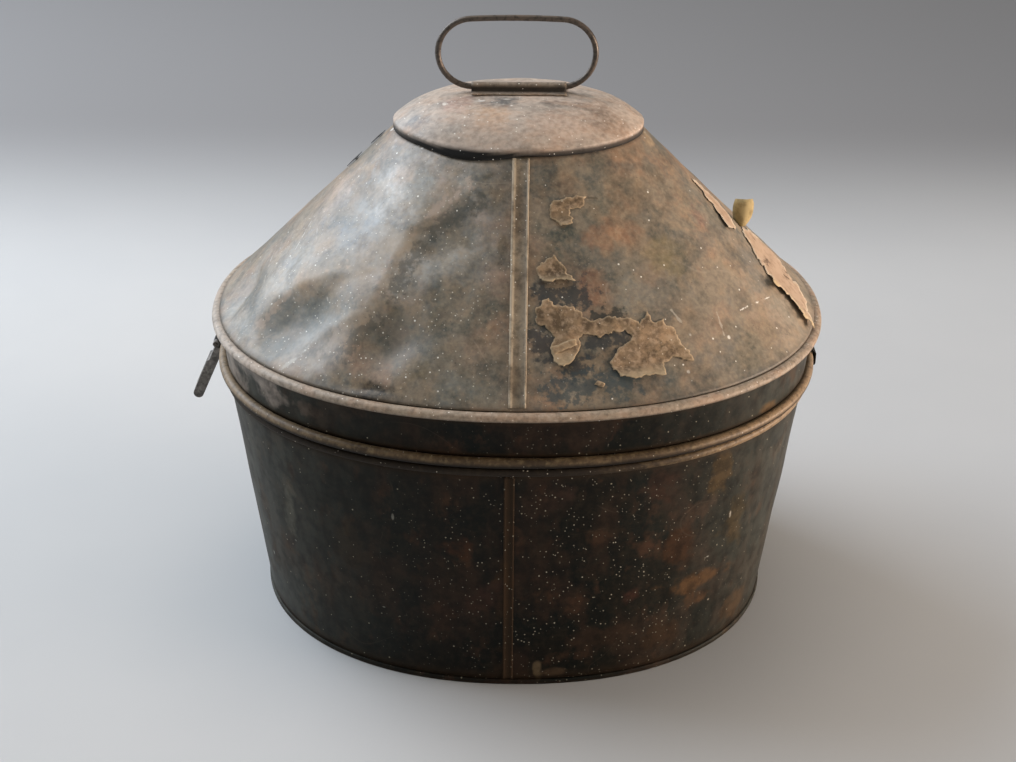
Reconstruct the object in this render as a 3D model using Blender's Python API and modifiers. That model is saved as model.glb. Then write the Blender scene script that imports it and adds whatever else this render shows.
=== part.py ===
"""Oval helmet tin: a tapered tinplate tub, a hinged conical lid, a domed cap and a wire handle.

Units are metres. +Z is up, the tin is longest along X, and its front faces -Y. The origin is
under the middle of the tin, on the surface that it stands on.
"""

import math

import bmesh
import bpy
from mathutils import Matrix, Vector

# Sheet metal and fits
SHEET = 0.0008                  # tinplate of every wall
GAP = 0.0003                    # between pieces that touch on the real tin
LID_CLEARANCE = 0.0015          # between the tub's collar and the lid's wired edge
SQUARENESS = 2.16               # 2 is a plain ellipse, more is squarer
CAP_SQUARENESS = 2.0

# Lid: widest at the rolled rim where skirt and cone meet
RIM_HALF_LENGTH = 0.1783        # to the middle of the rolled rim
RIM_HALF_WIDTH = 0.148
RIM_HEIGHT = 0.1823             # middle of the rolled rim above the table
RIM_BEAD_RADIUS = 0.0035
SKIRT_DROP = 0.0283             # from the rolled rim down to the wired edge
SKIRT_TUCK_LENGTH = 0.0018      # the wired edge is this much shorter than the rim, each end
SKIRT_TUCK_WIDTH = 0.0008
EDGE_WIRE_RADIUS = 0.003
SHEET_TUCK = 0.0018             # sheet meets each bead this far inside its middle line
CONE_FOOT_ANGLE = math.radians(66)

# Cap on the cone
CAP_HALF_LENGTH = 0.0719
CAP_HALF_WIDTH = 0.052
CONE_RISE = 0.1107              # from the rolled rim up to the cap's lower edge
CAP_FLANGE = 0.0045             # turned-down edge of the cap
CAP_DOME = 0.016
CAP_DOME_POWER = 4              # how flat the dome's middle is
CONE_TUCK = 0.001               # cone runs on under the cap

# Tub
BASE_HALF_LENGTH = 0.157        # outside of the folded rim that the tin stands on
BASE_HALF_WIDTH = 0.1375
BASE_RIM_HEIGHT = 0.0032
BASE_RIM_THICKNESS = 0.0026
BASE_RIM_PROUD = 0.001          # beyond the wall above it
BASE_RIM_CHAMFER = 0.0006
BASE_SHEET_HEIGHT = 0.0022      # underside of the bottom sheet above the table
SHOULDER_STEP = 0.002           # from the tub's wall in to its collar
COLLAR_RISE = 0.021             # above the middle of the wired edge
STOP_DROP = 0.007               # stop bead below the wired edge, middle to middle
STOP_PROUD = 0.0023
STOP_HALF_HEIGHT = 0.0023

# Grooved seams
CONE_SEAM_WIDTH = 0.0105
CONE_SEAM_HEIGHT = 0.0013
TUB_SEAM_WIDTH = 0.006
TUB_SEAM_HEIGHT = 0.001
TUB_SEAM_ASIDE = -0.0055       # the tub's seams sit beside the lid's
SEAM_LIP = 0.0016               # raised lip along each side of a seam
SEAM_HOLLOW = 0.45              # share of the seam's height lost between its lips

# Handle and its sleeve
HANDLE_WIRE_RADIUS = 0.0017
HANDLE_LENGTH = 0.0892          # between the wire's middle lines
HANDLE_REACH = 0.0393
HANDLE_ARCH = 0.0006            # the top run bows up
SLEEVE_LENGTH = 0.054
SLEEVE_SHEET = 0.0006
SLEEVE_CLEARANCE = 0.0004       # round the wire
SLEEVE_FLANGE = 0.0055          # flat strip on each side of the roll
SLEEVE_LIFT = 0.0002            # wire's lowest point above the flanges

# Hinge at the +X end
LEAF_SHEET = 0.0008
LEAF_GAP = 0.0005               # leaf to the beads that it passes
HINGE_PIN_RADIUS = 0.0008
HINGE_KNUCKLE_RADIUS = 0.0018
HINGE_WIDTH = 0.03
HINGE_MIDDLE_KNUCKLE = 0.014
LID_LEAF_TOP = 0.022            # above the wired edge's middle
TUB_LEAF_LENGTH = 0.032         # down from the pin

# Hasp at the -X end
HASP_RISE = 0.0005              # pin above the wired edge's middle
HASP_LEAN = math.radians(24.5)  # how far it stands out from the upright
HASP_LENGTH = 0.0386
HASP_WIDTH = 0.014
HASP_DEPTH = 0.0052             # of its turned-in sides
HASP_SHEET = 0.001
HASP_NECK = 0.0115              # from the pin to where the strap is doubled
HASP_TIP = 0.004                # solid curl at the free end
HASP_SLOT_WIDTH = 0.005
HASP_SLOT_LENGTH = 0.016
HASP_SLOT_START = 0.0145
HASP_PIN_RADIUS = 0.0009
HASP_KNUCKLE_RADIUS = 0.002
HASP_MIDDLE_KNUCKLE = 0.006
HASP_LEAF_WIDTH = 0.01
HASP_LEAF_TOP = 0.022           # above the wired edge's middle

# Brings the middle of the tin, hasp and all, over the origin
MIDDLE_SHIFT = 0.0082

# Dents in the cone: place round it in degrees from +X, height as a share of the slope, spread
# each way, and depth as a share of DENT_DEPTH (a negative one stands out)
DENT_DEPTH = 0.006
DENT_COLUMNS = ("around", "up", "spread_around", "spread_up", "depth")
DENTS = [
    (-139, 0.17, 17, 0.20, 0.85),
    (-114, 0.22, 10, 0.17, 0.65),
    (-124, 0.36, 12, 0.13, -0.35),
    (-147, 0.40, 14, 0.14, -0.30),
    (-168, 0.16, 11, 0.18, 0.45),
    (-113, 0.70, 11, 0.22, 0.35),
    (-150, 0.72, 16, 0.22, 0.30),
    (-58, 0.55, 16, 0.24, 0.20),
    (148, 0.35, 18, 0.26, 0.45),
    (40, 0.45, 18, 0.26, 0.30),
]

# Facets
PLAN_STEPS = 64
CONE_BANDS = 8
ROUND_STEPS = 12
ARC_STEPS = 8
ARCH_STEPS = 4
DOME_SHARES = (0.88, 0.72, 0.5, 0.25)
SHARP_ANGLE = math.radians(35)
WELD = 0.00001
OVERSHOOT = 0.002               # how far a cutter runs past what it cuts

# Ways to turn an outline drawn in X and Y before it is drawn out
FLAT = (0, 0, 0)
ALONG_Y = (math.pi / 2, 0, 0)
ALONG_X = (math.pi / 2, 0, math.pi / 2)


def grown(outline, by):
    """The same outline, larger by a length all round."""
    length, width, squareness = outline
    return (length + by, width + by, squareness)


# Outlines: half length, half width, squareness
RIM = (RIM_HALF_LENGTH, RIM_HALF_WIDTH, SQUARENESS)
EDGE = (RIM_HALF_LENGTH - SKIRT_TUCK_LENGTH, RIM_HALF_WIDTH - SKIRT_TUCK_WIDTH, SQUARENESS)
CAP = (CAP_HALF_LENGTH, CAP_HALF_WIDTH, CAP_SQUARENESS)
BASE = (BASE_HALF_LENGTH, BASE_HALF_WIDTH, SQUARENESS)
WALL_BOTTOM = grown(BASE, -BASE_RIM_PROUD)
COLLAR = grown(EDGE, -EDGE_WIRE_RADIUS - LID_CLEARANCE)
SHOULDER = grown(COLLAR, SHOULDER_STEP)
SKIRT_LOW = grown(EDGE, -SHEET_TUCK)
SKIRT_HIGH = grown(RIM, -SHEET_TUCK)
CONE_FOOT_REACH = RIM_BEAD_RADIUS + SHEET + GAP
CONE_FOOT = grown(RIM, -math.cos(CONE_FOOT_ANGLE) * CONE_FOOT_REACH)
CONE_SEAT = grown(CAP, -SHEET)

# Heights above the table
EDGE_HEIGHT = RIM_HEIGHT - SKIRT_DROP
STOP_HEIGHT = EDGE_HEIGHT - STOP_DROP
STOP_BOTTOM = STOP_HEIGHT - STOP_HALF_HEIGHT
STOP_TOP = STOP_HEIGHT + STOP_HALF_HEIGHT
WALL_FOOT = BASE_RIM_HEIGHT + GAP
COLLAR_TOP = EDGE_HEIGHT + COLLAR_RISE
SKIRT_BOTTOM = EDGE_HEIGHT + math.sqrt((EDGE_WIRE_RADIUS + GAP) ** 2 - SHEET_TUCK ** 2)
SKIRT_TOP = RIM_HEIGHT - math.sqrt((RIM_BEAD_RADIUS + GAP) ** 2 - SHEET_TUCK ** 2)
CONE_FOOT_HEIGHT = RIM_HEIGHT + math.sin(CONE_FOOT_ANGLE) * CONE_FOOT_REACH
CAP_LOWER_EDGE = RIM_HEIGHT + CONE_RISE
CONE_SEAT_HEIGHT = CAP_LOWER_EDGE - 1.5 * GAP
CAP_SHOULDER = CAP_LOWER_EDGE + CAP_FLANGE
CAP_CREST = CAP_SHOULDER + CAP_DOME
SLEEVE_FOOT = CAP_CREST + GAP
SLEEVE_ROLL = HANDLE_WIRE_RADIUS + SLEEVE_CLEARANCE + SLEEVE_SHEET / 2
CONE_SLOPE_RISE = CONE_SEAT_HEIGHT - CONE_FOOT_HEIGHT

# Axes of the moving pieces
HANDLE_AXIS = Vector((0, 0, SLEEVE_FOOT + SLEEVE_SHEET + SLEEVE_LIFT + HANDLE_WIRE_RADIUS))
HINGE_OUT = EDGE_WIRE_RADIUS + LEAF_GAP + LEAF_SHEET - HINGE_KNUCKLE_RADIUS
HINGE_REACH = EDGE_WIRE_RADIUS + GAP + HINGE_KNUCKLE_RADIUS
HINGE_DROP = math.sqrt(HINGE_REACH ** 2 - HINGE_OUT ** 2)
HINGE_AXIS = Vector((EDGE[0] + HINGE_OUT, 0, EDGE_HEIGHT - HINGE_DROP))
HASP_OUT = EDGE_WIRE_RADIUS + LEAF_GAP + GAP + HASP_KNUCKLE_RADIUS
HASP_AXIS = Vector((-EDGE[0] - HASP_OUT, 0, EDGE_HEIGHT + HASP_RISE))


def clear_scene():
    for item in list(bpy.data.objects):
        bpy.data.objects.remove(item, do_unlink=True)


def new_collection(name):
    collection = bpy.data.collections.new(name)
    bpy.context.scene.collection.children.link(collection)
    return collection


def material(name, colour, roughness, metallic):
    """Principled material with one colour, given as linear red, green and blue."""
    made = bpy.data.materials.new(name)
    made.use_nodes = True
    shader = made.node_tree.nodes["Principled BSDF"]
    shader.inputs["Base Color"].default_value = (*colour, 1)
    shader.inputs["Roughness"].default_value = roughness
    shader.inputs["Metallic"].default_value = metallic
    return made


def add_object(name, data, collection, finish=None):
    """Wrap mesh or curve data in an object and put it in a collection."""
    made = bpy.data.objects.new(name, data)
    collection.objects.link(made)
    if finish is not None:
        data.materials.append(finish)
    return made


def oval_point(outline, angle, height):
    """Point of a squared-off oval at an angle in radians from +X."""
    length, width, squareness = outline
    cosine, sine = math.cos(angle), math.sin(angle)
    x = length * math.copysign(abs(cosine) ** (2 / squareness), cosine)
    y = width * math.copysign(abs(sine) ** (2 / squareness), sine)
    return Vector((x, y, height))


def plan_angles():
    return [2 * math.pi * step / PLAN_STEPS for step in range(PLAN_STEPS)]


def oval_ring(outline, height):
    """Ring of points, anticlockwise seen from above."""
    return [oval_point(outline, angle, height) for angle in plan_angles()]


def lofted(name, rings, collection, finish, joined=False, filled_top=False):
    """Surface through closed rings with equal numbers of points.

    joined ties the last ring back to the first, which makes a solid ring. filled_top closes
    the last ring with one face.
    """
    mesh = bpy.data.meshes.new(name)
    shape = bmesh.new()
    rows = [[shape.verts.new(point) for point in ring] for ring in rings]
    pairs = list(zip(rows, rows[1:]))
    if joined:
        pairs.append((rows[-1], rows[0]))
    for lower, upper in pairs:
        for step, corner in enumerate(lower):
            after = (step + 1) % len(lower)
            shape.faces.new((corner, lower[after], upper[after], upper[step]))
    if filled_top:
        shape.faces.new(rows[-1])
    shape.to_mesh(mesh)
    shape.free()
    smooth(mesh)
    return add_object(name, mesh, collection, finish)


def smooth(mesh):
    mesh.shade_smooth()
    mesh.set_sharp_from_angle(angle=SHARP_ANGLE)


def thicken(item, sheet=SHEET):
    """Give an open surface its sheet thickness, to the inside."""
    solid = item.modifiers.new("Sheet thickness", "SOLIDIFY")
    solid.thickness = sheet
    solid.offset = -1
    solid.use_even_offset = True
    return item


def wire_loop(name, points, radius, collection, finish):
    """Round wire along a closed loop of points."""
    curve = bpy.data.curves.new(name, "CURVE")
    curve.dimensions = "3D"
    curve.bevel_depth = radius
    curve.bevel_resolution = 2
    spline = curve.splines.new("POLY")
    spline.points.add(len(points) - 1)
    for spot, point in zip(spline.points, points):
        spot.co = (*point, 1)
    spline.use_cyclic_u = True
    return add_object(name, curve, collection, finish)


def extruded(name, outlines, depth, collection, finish=None, turn=ALONG_Y, shift=(0, 0, 0)):
    """Closed mesh of flat outlines drawn out evenly to both sides of their plane.

    The first outline is the outside and any others are holes in it.
    """
    curve = bpy.data.curves.new(name, "CURVE")
    curve.dimensions = "2D"
    curve.fill_mode = "BOTH"
    curve.extrude = depth / 2
    for outline in outlines:
        spline = curve.splines.new("POLY")
        spline.points.add(len(outline) - 1)
        for spot, (across, up) in zip(spline.points, outline):
            spot.co = (across, up, 0, 1)
        spline.use_cyclic_u = True
    drawn = add_object(name, curve, collection)
    drawn.rotation_euler = turn
    drawn.location = shift
    return as_mesh(drawn, finish)


def as_mesh(drawn, finish):
    """Turn a curve object into a mesh object whose caps are welded on."""
    bpy.context.view_layer.update()
    graph = bpy.context.evaluated_depsgraph_get()
    mesh = bpy.data.meshes.new_from_object(drawn.evaluated_get(graph))
    shape = bmesh.new()
    shape.from_mesh(mesh)
    bmesh.ops.remove_doubles(shape, verts=shape.verts, dist=WELD)
    bmesh.ops.recalc_face_normals(shape, faces=shape.faces)
    shape.transform(drawn.matrix_world)
    shape.to_mesh(mesh)
    shape.free()
    smooth(mesh)
    mesh.materials.clear()
    name = drawn.name
    home = drawn.users_collection[0]
    bpy.data.objects.remove(drawn, do_unlink=True)
    return add_object(name, mesh, home, finish)


def box(name, low, high, collection, finish=None):
    """Box between two corners."""
    mesh = bpy.data.meshes.new(name)
    shape = bmesh.new()
    size = Vector(high) - Vector(low)
    place = Matrix.Translation((Vector(low) + Vector(high)) / 2)
    bmesh.ops.create_cube(shape, size=1, matrix=place @ Matrix.Diagonal((*size, 1)))
    shape.to_mesh(mesh)
    shape.free()
    return add_object(name, mesh, collection, finish)


def circle(centre, radius):
    """Outline of a circle, drawn so that a flat of it faces each way."""
    across, up = centre
    turns = [2 * math.pi * (step + 0.5) / ROUND_STEPS for step in range(ROUND_STEPS)]
    return [(across + radius * math.cos(turn), up + radius * math.sin(turn)) for turn in turns]


def strip(path, sheet):
    """Outline of a bent strip of sheet along a path through its middle."""
    points = [Vector(point) for point in path]
    left, right = [], []
    for place, point in enumerate(points):
        before = points[max(place - 1, 0)]
        after = points[min(place + 1, len(points) - 1)]
        ways = [way.normalized() for way in (point - before, after - point) if way.length > 0]
        normals = [Vector((-way.y, way.x)) for way in ways]
        mitre = sum(normals, Vector((0, 0))).normalized()
        reach = sheet / 2 / mitre.dot(normals[0])
        left.append(tuple(point + mitre * reach))
        right.append(tuple(point - mitre * reach))
    return left + right[::-1]


def combine(item, tool, operation):
    """Cut a tool from an object or join it on, and keep the tool as a hidden guide."""
    change = item.modifiers.new(tool.name, "BOOLEAN")
    change.operation = operation
    change.solver = "EXACT"
    change.object = tool
    tool.parent = item
    tool.hide_render = True
    tool.display_type = "WIRE"


def hang(item, holder):
    """Parent an object to an empty and leave it where it is."""
    bpy.context.view_layer.update()
    item.parent = holder
    item.matrix_parent_inverse = holder.matrix_world.inverted()


def axis_empty(name, place, collection):
    made = add_object(name, None, collection)
    made.empty_display_size = 2 * RIM_BEAD_RADIUS
    made.location = place
    return made


def between(low, high, share):
    """Value or outline part of the way from one to another."""
    if isinstance(low, tuple):
        return tuple(between(one, other, share) for one, other in zip(low, high))
    return low + (high - low) * share


def dent_depth(around, up):
    """Depth of the cone's dents at a place, in metres, with around in degrees."""
    total = 0
    for row in DENTS:
        dent = dict(zip(DENT_COLUMNS, row))
        turn = (around - dent["around"] + 180) % 360 - 180
        reach = math.hypot(turn / dent["spread_around"], (up - dent["up"]) / dent["spread_up"])
        if reach < 1:
            total += dent["depth"] * (1 - reach ** 2) ** 2
    return total * DENT_DEPTH


def cone_point(angle, up):
    """Point on the outside of the dented cone: up is 0 at the rim and 1 at the cap."""
    foot = oval_point(CONE_FOOT, angle, CONE_FOOT_HEIGHT)
    seat = oval_point(CONE_SEAT, angle, CONE_SEAT_HEIGHT)
    step = math.pi / PLAN_STEPS
    ahead = oval_point(CONE_FOOT, angle + step, 0) - oval_point(CONE_FOOT, angle - step, 0)
    outward = ahead.cross(seat - foot).normalized()
    return foot.lerp(seat, up) - outward * dent_depth(math.degrees(angle), up)


def skirt_face(height):
    """Half length of the skirt's outside at a height."""
    share = (height - SKIRT_BOTTOM) / (SKIRT_TOP - SKIRT_BOTTOM)
    return between(SKIRT_LOW[0], SKIRT_HIGH[0], share)


def wall_outline(height):
    """Outline of the tub's outside at a height below its shoulder."""
    share = (height - WALL_FOOT) / (STOP_BOTTOM - WALL_FOOT)
    return between(WALL_BOTTOM, SHOULDER, share)


def tub_wall(collection, finish):
    rings = [
        oval_ring(WALL_BOTTOM, WALL_FOOT),
        oval_ring(SHOULDER, STOP_BOTTOM),
        oval_ring(COLLAR, STOP_TOP),
        oval_ring(COLLAR, COLLAR_TOP),
    ]
    return thicken(lofted("tub_wall", rings, collection, finish))


def tub_base(collection, finish):
    outline = grown(BASE, -BASE_RIM_THICKNESS - GAP)
    points = [point.to_2d() for point in oval_ring(outline, 0)]
    middle = (0, 0, BASE_SHEET_HEIGHT + SHEET / 2)
    return extruded("tub_base", [points], SHEET, collection, finish, FLAT, middle)


def base_rim(collection, finish):
    chamfer, top, inner = BASE_RIM_CHAMFER, BASE_RIM_HEIGHT, -BASE_RIM_THICKNESS
    section = [
        (inner, 0),
        (-chamfer, 0),
        (0, chamfer),
        (0, top - chamfer),
        (-chamfer, top),
        (inner, top),
    ]
    rings = [oval_ring(grown(BASE, out), up) for out, up in section]
    return lofted("base_rim", rings, collection, finish, joined=True)


def stop_bead(collection, finish):
    """Half-round bead, its section given as shares of how far it stands out and of its height."""
    shares = [(0, -1), (0.6, -0.85), (1, -0.35), (1, 0.35), (0.6, 0.85), (0, 1)]
    rings = []
    for out, up in shares:
        outline = grown(SHOULDER, GAP + STOP_PROUD * out)
        rings.append(oval_ring(outline, STOP_HEIGHT + STOP_HALF_HEIGHT * up))
    return lofted("stop_bead", rings, collection, finish, joined=True)


def seam(name, low, high, width, height, facing, collection, finish):
    """Grooved seam laid from one point to another up the middle of the front or back."""
    half, base, crest = width / 2, GAP, GAP + height
    hollow = crest - height * SEAM_HOLLOW
    inner = half - SEAM_LIP
    side = [(half, base), (half, crest), (inner, crest), (inner - height / 2, hollow)]
    outline = side + [(-across, up) for across, up in reversed(side)]
    run = high - low
    made = extruded(name, [outline], run.length, collection, finish)
    made.location = (low + high) / 2
    made.rotation_euler = (math.atan2(run.z, run.y * -facing), 0, 0)
    if facing > 0:
        made.rotation_euler.z = math.pi
    return made


def cone_seam(name, facing, collection, finish):
    """Seam up the cone, on the front when facing is -1 and on the back when it is 1."""
    angle = facing * math.pi / 2
    low = oval_point(CONE_FOOT, angle, CONE_FOOT_HEIGHT)
    seat = oval_point(CONE_SEAT, angle, CONE_SEAT_HEIGHT)
    stop = 1 - (GAP + CONE_SEAM_HEIGHT) / CONE_SLOPE_RISE
    high = low.lerp(seat, stop)
    return seam(name, low, high, CONE_SEAM_WIDTH, CONE_SEAM_HEIGHT, facing, collection, finish)


def tub_seam(name, facing, collection, finish):
    angle = facing * math.pi / 2
    bottom = WALL_FOOT + GAP
    top = STOP_BOTTOM - GAP
    low = oval_point(wall_outline(bottom), angle, bottom)
    high = oval_point(wall_outline(top), angle, top)
    made = seam(name, low, high, TUB_SEAM_WIDTH, TUB_SEAM_HEIGHT, facing, collection, finish)
    made.location.x += TUB_SEAM_ASIDE
    return made


def lid_skirt(collection, finish):
    rings = [oval_ring(SKIRT_LOW, SKIRT_BOTTOM), oval_ring(SKIRT_HIGH, SKIRT_TOP)]
    return thicken(lofted("lid_skirt", rings, collection, finish))


def lid_cone(collection, finish):
    top = 1 + CONE_TUCK / CONE_SLOPE_RISE
    shares = [top * band / CONE_BANDS for band in range(CONE_BANDS + 1)]
    rings = [[cone_point(angle, up) for angle in plan_angles()] for up in shares]
    return thicken(lofted("lid_cone", rings, collection, finish))


def cap(collection, finish):
    rings = [oval_ring(CAP, CAP_LOWER_EDGE), oval_ring(CAP, CAP_SHOULDER)]
    for share in DOME_SHARES:
        outline = (CAP_HALF_LENGTH * share, CAP_HALF_WIDTH * share, CAP_SQUARENESS)
        rise = CAP_DOME * (1 - share ** CAP_DOME_POWER)
        rings.append(oval_ring(outline, CAP_SHOULDER + rise))
    return thicken(lofted("cap", rings, collection, finish, filled_top=True))


def handle_sleeve(collection, finish):
    """Strip folded over the handle's bottom wire, with a flange on each side."""
    foot = SLEEVE_FOOT + SLEEVE_SHEET / 2
    turns = [math.pi * step / ARC_STEPS for step in range(ARC_STEPS + 1)]
    roll = [
        (-SLEEVE_ROLL * math.cos(turn), HANDLE_AXIS.z + SLEEVE_ROLL * math.sin(turn))
        for turn in turns
    ]
    out = SLEEVE_ROLL + SLEEVE_FLANGE
    path = [(-out, foot), (-SLEEVE_ROLL, foot), *roll, (SLEEVE_ROLL, foot), (out, foot)]
    outline = strip(path, SLEEVE_SHEET)
    return extruded("handle_sleeve", [outline], SLEEVE_LENGTH, collection, finish, ALONG_X)


def handle(collection, finish):
    """Closed loop of wire, upright, with its bottom run along the object's own X axis."""
    bend = HANDLE_REACH / 2
    straight = HANDLE_LENGTH / 2 - bend
    turns = [math.pi * step / ARC_STEPS - math.pi / 2 for step in range(ARC_STEPS + 1)]
    right = [(straight + bend * math.cos(turn), bend + bend * math.sin(turn)) for turn in turns]
    shares = [1 - 2 * step / ARCH_STEPS for step in range(1, ARCH_STEPS)]
    arch = [
        (straight * share, HANDLE_REACH + HANDLE_ARCH * (1 - share ** 2)) for share in shares
    ]
    left = [(-across, up) for across, up in reversed(right)]
    points = [(across, 0, up) for across, up in right + arch + left]
    made = wire_loop("handle", points, HANDLE_WIRE_RADIUS, collection, finish)
    made.location = HANDLE_AXIS
    return made


def knuckle_box(name, axis, radius, low_y, high_y, collection):
    """Cutter that clears the space round a knuckle between two places along its pin."""
    room = radius + GAP
    low = (axis.x - room, low_y, axis.z - room)
    high = (axis.x + room, high_y, axis.z + room)
    return box(name, low, high, collection)


def pin(name, axis, radius, length, collection, finish):
    return extruded(name, [circle((axis.x, axis.z), radius)], length, collection, finish)


def tub_hinge_leaf(collection, guides, finish):
    """Leaf that goes from the pin round the stop bead and down the tub's wall."""
    half = LEAF_SHEET / 2
    radius = HINGE_KNUCKLE_RADIUS
    outside = SHOULDER[0] + GAP + STOP_PROUD + GAP + half
    below = STOP_BOTTOM - GAP - STOP_PROUD
    foot = HINGE_AXIS.z - TUB_LEAF_LENGTH
    path = [
        (HINGE_AXIS.x, HINGE_AXIS.z - radius + LEAF_SHEET),
        (outside, STOP_HEIGHT),
        (outside, STOP_BOTTOM - GAP),
        (wall_outline(below)[0] + GAP + half, below),
        (wall_outline(foot)[0] + GAP + half, foot),
    ]
    middle = HINGE_MIDDLE_KNUCKLE - GAP
    centre = (HINGE_AXIS.x, HINGE_AXIS.z)
    made = extruded("tub_hinge_leaf", [strip(path, LEAF_SHEET)], HINGE_WIDTH, collection, finish)
    edge = HINGE_WIDTH / 2 + OVERSHOOT
    for side, low, high in (("left", -edge, -middle / 2), ("right", middle / 2, edge)):
        room = knuckle_box(f"lid_knuckle_room_{side}", HINGE_AXIS, radius, low, high, guides)
        combine(made, room, "DIFFERENCE")
    knuckle = extruded("tub_knuckle", [circle(centre, radius)], middle, guides)
    combine(made, knuckle, "UNION")
    hole = circle(centre, HINGE_PIN_RADIUS + GAP)
    bore = extruded("tub_knuckle_bore", [hole], 2 * edge, guides)
    combine(made, bore, "DIFFERENCE")
    return made


def lid_hinge_leaf(collection, guides, finish):
    """Leaf that goes from the skirt out round the wired edge to the pin."""
    half = LEAF_SHEET / 2
    radius = HINGE_KNUCKLE_RADIUS
    top = EDGE_HEIGHT + LID_LEAF_TOP
    knee = EDGE_HEIGHT + 2 * EDGE_WIRE_RADIUS
    outside = HINGE_AXIS.x + radius - half
    path = [
        (skirt_face(top) + GAP + half, top),
        (skirt_face(knee) + GAP + half, knee),
        (outside, EDGE_HEIGHT + EDGE_WIRE_RADIUS / 2),
        (outside, HINGE_AXIS.z),
    ]
    centre = (HINGE_AXIS.x, HINGE_AXIS.z)
    made = extruded("lid_hinge_leaf", [strip(path, LEAF_SHEET)], HINGE_WIDTH, collection, finish)
    knuckle = extruded("lid_knuckle", [circle(centre, radius)], HINGE_WIDTH, guides)
    combine(made, knuckle, "UNION")
    side = (HINGE_MIDDLE_KNUCKLE + GAP) / 2
    room = knuckle_box("tub_knuckle_room", HINGE_AXIS, radius, -side, side, guides)
    combine(made, room, "DIFFERENCE")
    hole = circle(centre, HINGE_PIN_RADIUS + GAP)
    bore = extruded("lid_knuckle_bore", [hole], HINGE_WIDTH + 2 * OVERSHOOT, guides)
    combine(made, bore, "DIFFERENCE")
    return made


def hasp_leaf(collection, guides, finish):
    """Leaf that goes from the skirt out over the wired edge to the hasp's pin."""
    half = LEAF_SHEET / 2
    radius = HASP_KNUCKLE_RADIUS
    top = EDGE_HEIGHT + HASP_LEAF_TOP
    knee = EDGE_HEIGHT + 2 * EDGE_WIRE_RADIUS + LEAF_SHEET
    path = [
        (-skirt_face(top) - GAP - half, top),
        (-skirt_face(knee) - GAP - half, knee),
        (HASP_AXIS.x, HASP_AXIS.z + radius - LEAF_SHEET),
    ]
    centre = (HASP_AXIS.x, HASP_AXIS.z)
    made = extruded("hasp_leaf", [strip(path, LEAF_SHEET)], HASP_LEAF_WIDTH, collection, finish)
    middle = HASP_MIDDLE_KNUCKLE - GAP
    edge = HASP_LEAF_WIDTH / 2 + OVERSHOOT
    for side, low, high in (("left", -edge, -middle / 2), ("right", middle / 2, edge)):
        room = knuckle_box(f"hasp_knuckle_room_{side}", HASP_AXIS, radius, low, high, guides)
        combine(made, room, "DIFFERENCE")
    knuckle = extruded("hasp_leaf_knuckle", [circle(centre, radius)], middle, guides)
    combine(made, knuckle, "UNION")
    hole = circle(centre, HASP_PIN_RADIUS + GAP)
    bore = extruded("hasp_leaf_bore", [hole], 2 * edge, guides)
    combine(made, bore, "DIFFERENCE")
    return made


def hasp_side_start():
    """How far below the pin the hasp's turned-in sides begin, just clear of the wired edge."""
    down = Vector((-math.sin(HASP_LEAN), -math.cos(HASP_LEAN)))
    inward = Vector((math.cos(HASP_LEAN), -math.sin(HASP_LEAN)))
    pin = Vector((-HASP_OUT, HASP_RISE))
    corner = pin + inward * HASP_DEPTH
    along = corner.dot(down)
    room = EDGE_WIRE_RADIUS + GAP
    return math.sqrt(max(along ** 2 - corner.length_squared + room ** 2, 0)) - along


def hasp(collection, guides, finish):
    """Folded strap with turned-in sides, a slot and a curled tip, drawn hanging from its pin."""
    start = hasp_side_start()
    bend = (HASP_DEPTH + HASP_SHEET) / 2
    tip = HASP_LENGTH - bend
    turns = [math.pi * step / ARC_STEPS for step in range(ARC_STEPS + 1)]
    curl = [
        (HASP_DEPTH - bend - bend * math.cos(turn), -tip - bend * math.sin(turn))
        for turn in turns
    ]
    outline = [
        (HASP_DEPTH, -start),
        (0, -start),
        (0, -HASP_NECK),
        (-HASP_SHEET, -HASP_NECK - HASP_SHEET),
        *curl,
    ]
    made = extruded("hasp", [outline], HASP_WIDTH, collection, finish)
    wall = HASP_WIDTH / 2 - HASP_SHEET
    middle = (HASP_MIDDLE_KNUCKLE + GAP) / 2
    room = HASP_KNUCKLE_RADIUS + GAP
    round_pin = circle((0, 0), HASP_KNUCKLE_RADIUS)
    across = HASP_WIDTH - HASP_SHEET
    knuckle = extruded("hasp_knuckle", [round_pin], across, guides)
    combine(made, knuckle, "UNION")
    inside = box(
        "hasp_inside",
        (HASP_SHEET, -wall, -HASP_LENGTH + HASP_TIP),
        (HASP_DEPTH + OVERSHOOT, wall, -HASP_KNUCKLE_RADIUS),
        guides,
    )
    combine(made, inside, "DIFFERENCE")
    notch = box("hasp_notch", (-room, -middle, -room), (2 * HASP_DEPTH, middle, room), guides)
    combine(made, notch, "DIFFERENCE")
    half_slot = HASP_SLOT_WIDTH / 2
    slot = box(
        "hasp_slot",
        (-OVERSHOOT, -half_slot, -HASP_SLOT_START - HASP_SLOT_LENGTH),
        (OVERSHOOT, half_slot, -HASP_SLOT_START),
        guides,
    )
    combine(made, slot, "DIFFERENCE")
    hole = circle((0, 0), HASP_PIN_RADIUS + GAP)
    bore = extruded("hasp_bore", [hole], HASP_WIDTH + 2 * OVERSHOOT, guides)
    combine(made, bore, "DIFFERENCE")
    made.location = HASP_AXIS
    made.rotation_euler = (0, HASP_LEAN, 0)
    return made


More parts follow.
